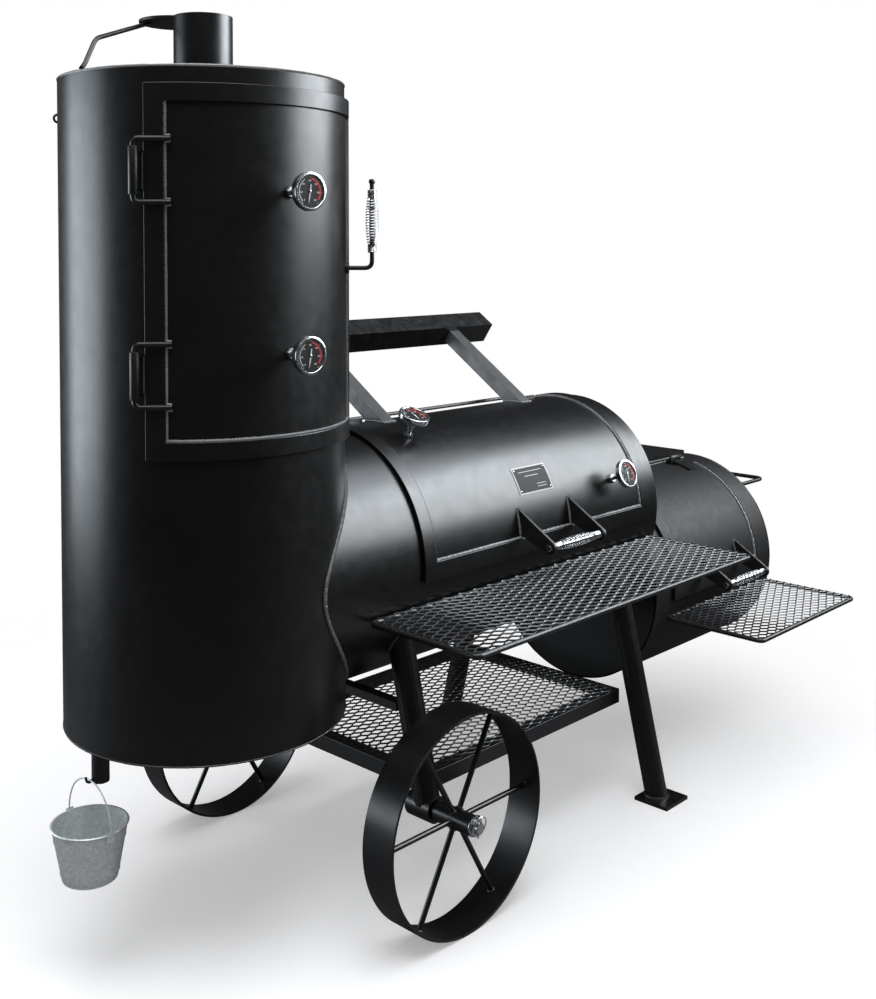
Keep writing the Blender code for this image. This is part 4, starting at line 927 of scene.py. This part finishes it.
def build_barrel():
    saddle = CABINET_R + 0.0006

    def cope(a, r):
        return sqrt(saddle ** 2 - (r * cos(a)) ** 2)

    end = BARREL_END
    build_tube("barrel", "barrel_shell", PAINT, BARREL_Z, cope, end, LID_X, LID_ANGLES,
               [("end", (end - WALL, end), THROAT)])
    build_lid("barrel_lid", PAINT, BARREL_Z, LID_X, LID_ANGLES, LID_HINGE, "barrel_door")
    dress("barrel_hinge_rod", PAINT_PARTS, 0.0006)
    middle = (LID_X[0] + LID_X[1]) / 2
    build_handle("barrel_handle", "lid_handle", BARREL_Z, middle, 0.101, "barrel_lid", True)
    # The struts get the black paint lightened to grey as a painted reflection.
    for node in ("lid_strut_left", "lid_strut_right"):
        dress(node, GREYED_PAINT_PAINTED_REFLECTION, 0.0022)
    dress("counterweight_bar", PAINT_PARTS, 0.0022)

    feet = Shape()
    tilt = radians(34.3)
    along = Vector((0, cos(tilt), sin(tilt)))
    across = Vector((0, -sin(tilt), cos(tilt)))
    axis = Vector((0, 0, BARREL_Z))
    for node in ("lid_strut_left", "lid_strut_right"):
        low, high = local_box(node)
        half = (high.x - low.x) / 2 + 0.0012
        foot = Vector(((low.x + high.x) / 2, 0, BARREL_Z + 0.2872))
        corners = ((-half, -half), (half, -half), (half, half), (-half, half))
        ring = []
        for (u1, v1), (u2, v2) in zip(corners, corners[1:] + corners[:1]):
            for t in steps(0, 1, 6)[:-1]:
                base = foot + Vector((u1 + (u2 - u1) * t, 0, 0)) + across * (v1 + (v2 - v1) * t)
                reach = 0.0
                while (base + along * reach - axis).yz.length < LID_R + 0.001:
                    reach += 0.001
                while (base + along * reach - axis).yz.length > LID_R + 0.001:
                    reach -= 0.001
                ring.append(base + along * reach)
        feet.bead(ring, 0.0036, closed=True)
    feet.make("lid_strut_weld", WELD_PAINTED_HIGHLIGHT, body="barrel_lid")

    where = about_x(BARREL_Z)
    low, high = local_box("name_plate")
    base = LID_R + GAP
    span = (22.9, 36.8)
    card = Shape().shell(where, (base, base + 0.0012), columns(*span), [low.x, high.x])
    card.make("maker_plate", SILVER_PRINT, "name_plate", "barrel_lid", slot="chrome", bevel=0.0005)
    edge = 0.0042
    rim = degrees(edge / BARREL_R)
    field = Shape().shell(where, (base + 0.0004, base + 0.0015), columns(span[0] + rim, span[1] - rim),
                          [low.x + edge, high.x - edge])
    field.make("maker_plate_field", DIAL_BLACK, body="barrel_lid", bevel=0.0003)
    rules = Shape()
    for angle, start, end in ((33.9, 0.16, 0.84), (31.6, 0.30, 0.70), (27.0, 0.56, 0.84), (25.6, 0.56, 0.84)):
        rules.shell(where, (base + 0.0014, base + 0.0017), columns(angle - 0.16, angle + 0.16, (), 0.16),
                    [low.x + (high.x - low.x) * start, low.x + (high.x - low.x) * end])
    rules.make("maker_plate_rules", SILVER_PRINT, body="barrel_lid", slot="chrome")
    rivets = Shape()
    for x in (low.x + 0.0085, high.x - 0.0085):
        for angle in (span[0] + 2 * rim, span[1] - 2 * rim):
            rivets.turned([(0, 0), (0.0024, 0), (0.0024, 0.0016), (0.0016, 0.0024), (0, 0.0027)],
                          about_ray(*round_ray(angle, BARREL_Z, base, x)), 16)
    rivets.make("maker_plate_rivets", CHROME, body="barrel_lid", slot="chrome")

    for node, angle in (("lid_thermometer_left", 67.5), ("lid_thermometer_right", 21.0)):
        low, high = local_box(node)
        point, ray = round_ray(angle, BARREL_Z, LID_R, (low.x + high.x) / 2)
        thermometer(node, point, ray, 0.062, "barrel_lid")

    low, high = local_box("barrel_grate")
    grate = Shape()
    diamonds(grate, (low.x, high.x), (low.y, high.y), high.z, 0.0016)
    half, top = 0.004, high.z - 0.0012
    for y in (low.y + half, high.y - half, 0):
        grate.box((low.x, y - half, low.z), (high.x, y + half, top))
    for x in (low.x + half, high.x - half, (low.x + high.x) / 2):
        grate.box((x - half, low.y, low.z), (x + half, high.y, top))
    grate.make("barrel_mesh_grate", ZINC, "barrel_grate")


def build_firebox():
    start, end = FIREBOX_START, FIREBOX_END
    window = (FIREBOX_LID_X, FIREBOX_LID_ANGLES)
    build_tube("firebox", "firebox_shell", PAINT_HOT, FIREBOX_Z, start, end, *window,
               [("inner", (start, start + WALL), THROAT), ("end", (end - WALL, end), DOORWAY)])
    build_lid("firebox_lid", PAINT_HOT, FIREBOX_Z, *window, FIREBOX_HINGE, "firebox_top")
    dress("firebox_hinge_rod", PAINT_PARTS, 0.0006)
    middle = (FIREBOX_LID_X[0] + FIREBOX_LID_X[1]) / 2
    build_handle("firebox_top_handle", "firebox_handle", FIREBOX_Z, middle, 0.1065, "firebox_lid", False)
    dress("fire_grate", SOOT, 0.0015)
    dress("warming_plate", PAINT_PARTS, 0.0014)

    welds = Shape()
    where = about_x(FIREBOX_Z)
    welds.bead(arc(where, BARREL_R - 0.001, (-180, 176), end, 180), 0.0028, closed=True)
    welds.make("firebox_end_weld", WELD_DIM_PAINTED_HIGHLIGHT)
    joint = Shape()
    meet = degrees(asin((BARREL_Z - FIREBOX_Z) / 2 / BARREL_R))
    joint.bead(arc(about_x(BARREL_Z), BARREL_R + 0.0008, (-180 + meet, -meet), start, 90), 0.0036)
    joint.bead(arc(where, BARREL_R + 0.0008, (meet, 180 - meet), start - 0.0006, 90), 0.0036)
    low, high = local_box("warming_plate")
    for y in (low.y, high.y):
        z = FIREBOX_Z + sqrt(BARREL_R ** 2 - y * y) + 0.001
        joint.bead([(low.x + 0.004, y, z), (high.x - 0.004, y, z)], 0.0028)
    joint.make("firebox_weld", WELD_PAINTED_HIGHLIGHT)

    pull_z, pull_y, reach = 0.710, 0.175, local_box("pull_handle")[1].x - 0.0064
    bar = Shape().tube(smooth_path([(end, -pull_y, pull_z), (reach, -pull_y, pull_z), (reach, pull_y, pull_z),
                                    (end, pull_y, pull_z)], 0.030, 12), 0.0064, 20)
    for y in (-pull_y, pull_y):
        ring = [about_x(pull_z, y)(-0.0072, -a, end + 0.0015) for a in full_turn(24)]
        bar.bead(ring, 0.0026, closed=True)
    bar.make("towing_handle", PAINT_PARTS, "pull_handle")
    dress("firebox_door", PAINT_PARTS, 0.0010)
    dress("firebox_door_hinge", PAINT_PARTS, 0.0006)
    dress("air_damper", PAINT_PARTS, 0.0006)


# ---------------------------------------------------------------- legs, wheels and shelves
def build_legs():
    for node in ("leg_front_left", "leg_front_right", "leg_back_left", "leg_back_right"):
        dress(node, PAINT, 0.0012)
    dress("leg_brace", PAINT_PARTS, 0.0010)
    spot = about_y(AXLE_X, AXLE_Z)
    for side, sign in (("front", -1), ("back", 1)):
        node = f"stub_axle_{side}"
        socket = Shape().disc(0.0302, *sorted((sign * 0.283, sign * 0.356)), spot, 72, 0.0012)
        socket.make(f"axle_socket_{side}", PAINT, node)
        rod = Shape().disc(0.0127, *sorted((sign * 0.355, sign * 0.485)), spot, 48, 0.0016)
        rod.ring(0.0129, 0.0220, *sorted((sign * 0.4665, sign * 0.4700)), spot, 48, 0.0006)
        rod.make(f"axle_rod_{side}", ZINC, node)

    welds = Shape()
    foot_y, lean, reach = 0.385, 0.240, 0.0312
    for sign in (-1, 1):
        for x in (AXLE_X, LEG_X):
            ring = []
            for a in full_turn(40):
                z = 0.50
                for _ in range(12):                        # settles where the leaning leg meets the barrel
                    y = foot_y - lean * z + reach * sin(a)
                    z = BARREL_Z - sqrt(max((BARREL_R + 0.001) ** 2 - y * y, 0))
                ring.append((x + reach * cos(a), sign * y, z))
            welds.bead(ring, 0.0038, closed=True)
        ring = [(LEG_X + reach * cos(a), sign * (0.3827 + 0.0322 * sin(a)), 0.0102)
                for a in full_turn(40)]
        welds.bead(ring, 0.0030, closed=True)
    welds.make("leg_weld", WELD_DIM_PAINTED_HIGHLIGHT)


def build_wheels():
    for node, sign in (("wheel_front", -1), ("wheel_back", 1)):
        low, high = sorted((sign * 0.3686, sign * 0.4571))
        spot = about_y(AXLE_X, AXLE_Z)
        rim_in = WHEEL_R - 0.0060
        wheel = Shape().ring(rim_in, WHEEL_R, low, high, spot, 160, 0.0014)
        wheel.ring(0.0132, 0.0225, *sorted((sign * 0.3600, sign * 0.4655)), spot, 56, 0.0010)
        centre = Vector((AXLE_X, (low + high) / 2, AXLE_Z))
        welds = Shape()
        for angle in full_turn(6):
            ray = Vector((cos(angle), 0, sin(angle)))
            wheel.tube([centre + ray * 0.0215, centre + ray * (rim_in + 0.001)], 0.0062, 16)
            across = Vector((-ray.z, 0, ray.x))
            for radius in (0.0232, rim_in - 0.0008):
                ring = [centre + ray * radius + 0.0070 * (across * cos(a) + Vector((0, sin(a), 0)))
                        for a in full_turn(20)]
                welds.bead(ring, 0.0020, closed=True)
        wheel.make(node + "_iron", PAINT, node, node)
        welds.make(node + "_weld", WELD_DIM_PAINTED_HIGHLIGHT, body=node)

        pin = Shape()
        y = sign * 0.4775
        pin.tube([(AXLE_X, y, AXLE_Z - 0.022), (AXLE_X, y, AXLE_Z + 0.024)], 0.0022, 12)
        pin.disc(0.0050, AXLE_Z + 0.020, AXLE_Z + 0.027, about_z(AXLE_X, y), 20, 0.0012)
        loop = [(AXLE_X + 0.02107 * cos(a), y + sign * (0.0035 + 0.004 * sin(a)),
                 AXLE_Z + 0.0045 + 0.0215 * sin(a)) for a in full_turn(48)]
        pin.tube(loop, 0.0013, 10, closed=True)
        pin.make(node + "_linch_pin", CHROME, slot="grey_steel")


def loop_points(x_span, y_span, corner, z):
    """A rectangle with rounded corners."""
    (x1, x2), (y1, y2) = (x_span[0] + corner, x_span[1] - corner), (y_span[0] + corner, y_span[1] - corner)
    points = []
    for x, y, start in ((x2, y2, 0), (x1, y2, 90), (x1, y1, 180), (x2, y1, 270)):
        points += arc(about_z(x, y), corner, (start, start + 90), z, 10)
    return points


def build_shelves():
    rod = 0.0064
    for node in ("front_shelf", "side_shelf"):
        low, high = local_box(node)
        shelf = Shape()
        rod_z = high.z - 0.0018 - rod
        spans = (low.x + rod, high.x - rod), (low.y + rod, high.y - rod)
        shelf.tube(loop_points(*spans, 0.014, rod_z), rod, 16, True)
        shelf.make(node + "_rods", PAINT_PARTS)
        mesh = Shape()
        diamonds(mesh, *spans, high.z, 0.0021)
        mesh.make(node + "_mesh", MESH_PAINT_PAINTED_GLINT, node)

    low, high = local_box("lower_shelf")
    top = high.z - 0.0018
    leg, skin = 0.0381, 0.0050
    rings = []
    section = ((0, top), (0, top - leg), (skin, top - leg), (skin, top - skin), (leg, top - skin), (leg, top))
    angle = Shape()
    for x, y, sx, sy in ((low.x, low.y, 1, 1), (high.x, low.y, -1, 1),
                         (high.x, high.y, -1, -1), (low.x, high.y, 1, -1)):
        rings.append([angle.vert((x + sx * inset, y + sy * inset, z)) for inset, z in section])
    angle.loft(rings, closed=True)
    angle.make("lower_shelf_angle", PAINT_PARTS, bevel=0.0012)
    mesh = Shape()
    diamonds(mesh, (low.x + 0.008, high.x - 0.008), (low.y + 0.008, high.y - 0.008), high.z, 0.0021)
    mesh.make("lower_shelf_mesh", MESH_PAINT_PAINTED_GLINT, "lower_shelf")


def build_bucket():
    low, high = local_box("bucket")
    x, y = (low.x + high.x) / 2, (low.y + high.y) / 2
    where = about_z(x, y)
    bottom, top = low.z, high.z
    r1, r2 = 0.056, 0.077

    def side(t):
        return r1 + (r2 - r1) * t

    outer = [(0, bottom + 0.004), (r1 - 0.005, bottom + 0.004), (r1 - 0.004, bottom), (r1 - 0.0008, bottom),
             (r1, bottom + 0.0015)]
    for t, out in ((0.10, 0), (0.13, 0.0012), (0.16, 0), (0.70, 0), (0.73, 0.0012), (0.76, 0), (0.95, 0)):
        outer.append((side(t) + out, bottom + (top - bottom) * t))
    skin = 0.0012
    inner = [(side(t) - skin, bottom + (top - bottom) * t) for t in (0.95, 0.5, 0.05)]
    curl = [(r2 + 0.0010, top - 0.0040), (r2 + 0.0022, top - 0.0022), (r2 + 0.0010, top - 0.0004),
            (r2 - 0.0010, top), (r2 - 0.0026, top - 0.0012)]
    Shape().turned(outer + curl + inner + [(0, bottom + 0.0055)], where, 96).make(
        "pail", GALVANISED, "bucket", "bucket", slot="galvanised", sharp=50)
    ears = Shape()
    ear_z = top - 0.0065
    for sign in (-1, 1):
        ears.box((-0.0085, 0, -0.014), (0.0085, 0.0016, 0.010),
                 lambda u, v, w, s=sign: Vector((x + u, y + s * (r2 + 0.0004 + v + w * 0.10), ear_z + w)))
        for dx in (-0.0055, 0.0055):
            ears.disc(0.0020, 0.0018, 0.0036, lambda r, a, h, s=sign, dx=dx: Vector(
                (x + dx + r * cos(a), y + s * (r2 - 0.0018 + h), ear_z - 0.010 + r * sin(a))), 12)
    ears.make("pail_ears", GALVANISED, body="bucket", slot="galvanised", bevel=0.0004)
    low, high = local_box("bucket_bail")
    reach = (high.y - low.y) / 2 - 0.0015
    rise = high.z - 0.0015 - ear_z
    points = [(x, y + reach * cos(a), ear_z + rise * sin(a) ** 0.85) for a in steps(0, pi, 64)]
    Shape().tube(points, 0.0016, 12).make("pail_bail", GALVANISED, "bucket_bail", "bail", slot="galvanised")
    low, high = local_box("drain_pipe")
    dx, dy, radius = -0.262, 0.008, 0.0182
    side = dx - radius
    pipe = Shape().ring(0.0152, radius, low.z + 0.0002, high.z, about_z(dx, dy), 48, 0.0008)
    hook = [(side + 0.0015, dy, 0.4080), (side - 0.003, dy, 0.4025), (x, dy, 0.4005),
            (x - 0.006, dy, 0.4040), (x - 0.0085, dy, 0.4130)]
    pipe.tube(smooth_path(hook, 0.002), 0.0028, 12)
    pipe.bead(arc(about_z(dx, dy), radius + 0.001, (0, 350), CABINET_Z[0] - 0.0008, 36), 0.0028, closed=True)
    pipe.make("drain_spout", PAINT_PARTS, "drain_pipe")


build_cabinet()
build_racks()
build_cabinet_door()
build_latch()
build_chimney()
build_barrel()
build_firebox()
build_legs()
build_wheels()
build_shelves()
build_bucket()


# ---------------------------------------------------------------- floor, light and camera
def build_floor():
    """A pale floor that darkens only under the object and melts into the white backdrop."""
    mix = Mix("studio_floor", Roughness=0.65, Specular_IOR_Level=0.2, Emission_Color=(1, 1, 1, 1))
    seen = mix.add("LightPath").outputs["Is Camera Ray"]
    tone = mix.add("Mix")
    tone.data_type = "RGBA"
    set_inputs(tone, A=(0.16, 0.16, 0.17, 1), B=(0.86, 0.86, 0.87, 1))
    glow = mix.add("Math")
    glow.operation = "MULTIPLY"
    glow.inputs[1].default_value = 0.30
    gap = mix.add("VectorMath")
    gap.operation = "DISTANCE"
    gap.inputs[1].default_value = (0.35, -0.1, 0)
    fade = mix.add("MapRange", From_Min=0.9, From_Max=3.0, To_Min=1.0, To_Max=0.0)
    fade.interpolation_type = "SMOOTHERSTEP"
    mix.join((seen, tone.inputs["Factor"]), (tone.outputs["Result"], mix.shader.inputs["Base Color"]),
             (seen, glow.inputs[0]), (glow.outputs["Value"], mix.shader.inputs["Emission Strength"]),
             (mix.coordinates(), gap.inputs[0]), (gap.outputs["Value"], fade.inputs["Value"]),
             (fade.outputs["Result"], mix.shader.inputs["Alpha"]))
    mesh = bpy.data.meshes.new("studio_floor")
    size = 6.0
    corners = [(-size, -size, 0), (size, -size, 0), (size, size, 0), (-size, size, 0)]
    mesh.from_pydata(corners, [], [(0, 1, 2, 3)])
    mesh.materials.append(mix.made)
    show("studio_floor", mesh)


def build_world():
    world = bpy.data.worlds.new("studio")
    bpy.context.scene.world = world
    world.use_nodes = True
    nodes, links = world.node_tree.nodes, world.node_tree.links
    nodes.clear()
    path = nodes.new("ShaderNodeLightPath")

    def background(colour, strength):
        made = nodes.new("ShaderNodeBackground")
        made.inputs["Color"].default_value = (*colour, 1)
        made.inputs["Strength"].default_value = strength
        return made.outputs["Background"]

    def choose(ray, if_not, if_so):
        mix = nodes.new("ShaderNodeMixShader")
        links.new(path.outputs[ray], mix.inputs["Fac"])
        links.new(if_not, mix.inputs[1])
        links.new(if_so, mix.inputs[2])
        return mix.outputs["Shader"]

    mirrored = background((0.92, 0.96, 1.0), 0.04)
    filling = background((0.98, 0.99, 1.0), 0.50)
    seen = background((1, 1, 1), 1.0)
    out = nodes.new("ShaderNodeOutputWorld")
    shade = choose("Is Camera Ray", choose("Is Diffuse Ray", mirrored, filling), seen)
    links.new(shade, out.inputs["Surface"])


def add_light(name, place, aim, size, power, colour, diffuse=False):
    """A softbox; without diffuse it shows only as a highlight."""
    data = bpy.data.lights.new(name, "AREA")
    data.shape = "RECTANGLE"
    data.size, data.size_y = size
    data.energy = power
    data.color = colour
    light = show(name, data)
    light.location = ORIGIN + Vector(place)
    light.visible_camera = False
    light.visible_diffuse = diffuse
    light.rotation_euler = (Vector(aim) - Vector(place)).to_track_quat("-Z", "Y").to_euler()


def build_camera():
    data = bpy.data.cameras.new("camera")
    data.lens = 44.123
    data.sensor_width = 36.0
    data.shift_x = 0.01057
    data.shift_y = -0.215
    camera = show("camera", data)
    camera.location = ORIGIN + Vector((-1.59300, -2.19636, 1.50044))
    camera.rotation_euler = (radians(88.091), 0, radians(-46.268))
    bpy.context.scene.camera = camera


build_floor()
build_world()
add_light("left_softbox", (-2.35, 2.75, 1.28), (0, 0, 1.10), (2.6, 2.1), 105, (0.84, 0.93, 1.0))
add_light("right_softbox", (3.85, -2.55, 3.0), (0.1, 0, 1.5), (3.4, 2.5), 330, (0.91, 0.96, 1.0))
add_light("barrel_softbox", (1.60, -0.90, 2.65), (0.45, -0.15, 0.95), (1.5, 1.5), 38, (0.86, 0.93, 1.0))
add_light("top_softbox", (-0.5, -0.8, 4.6), (0.4, -0.2, 0.4), (3.8, 3.4), 165, (0.98, 0.99, 1.0), True)
build_camera()
bpy.context.scene.view_settings.view_transform = "Standard"
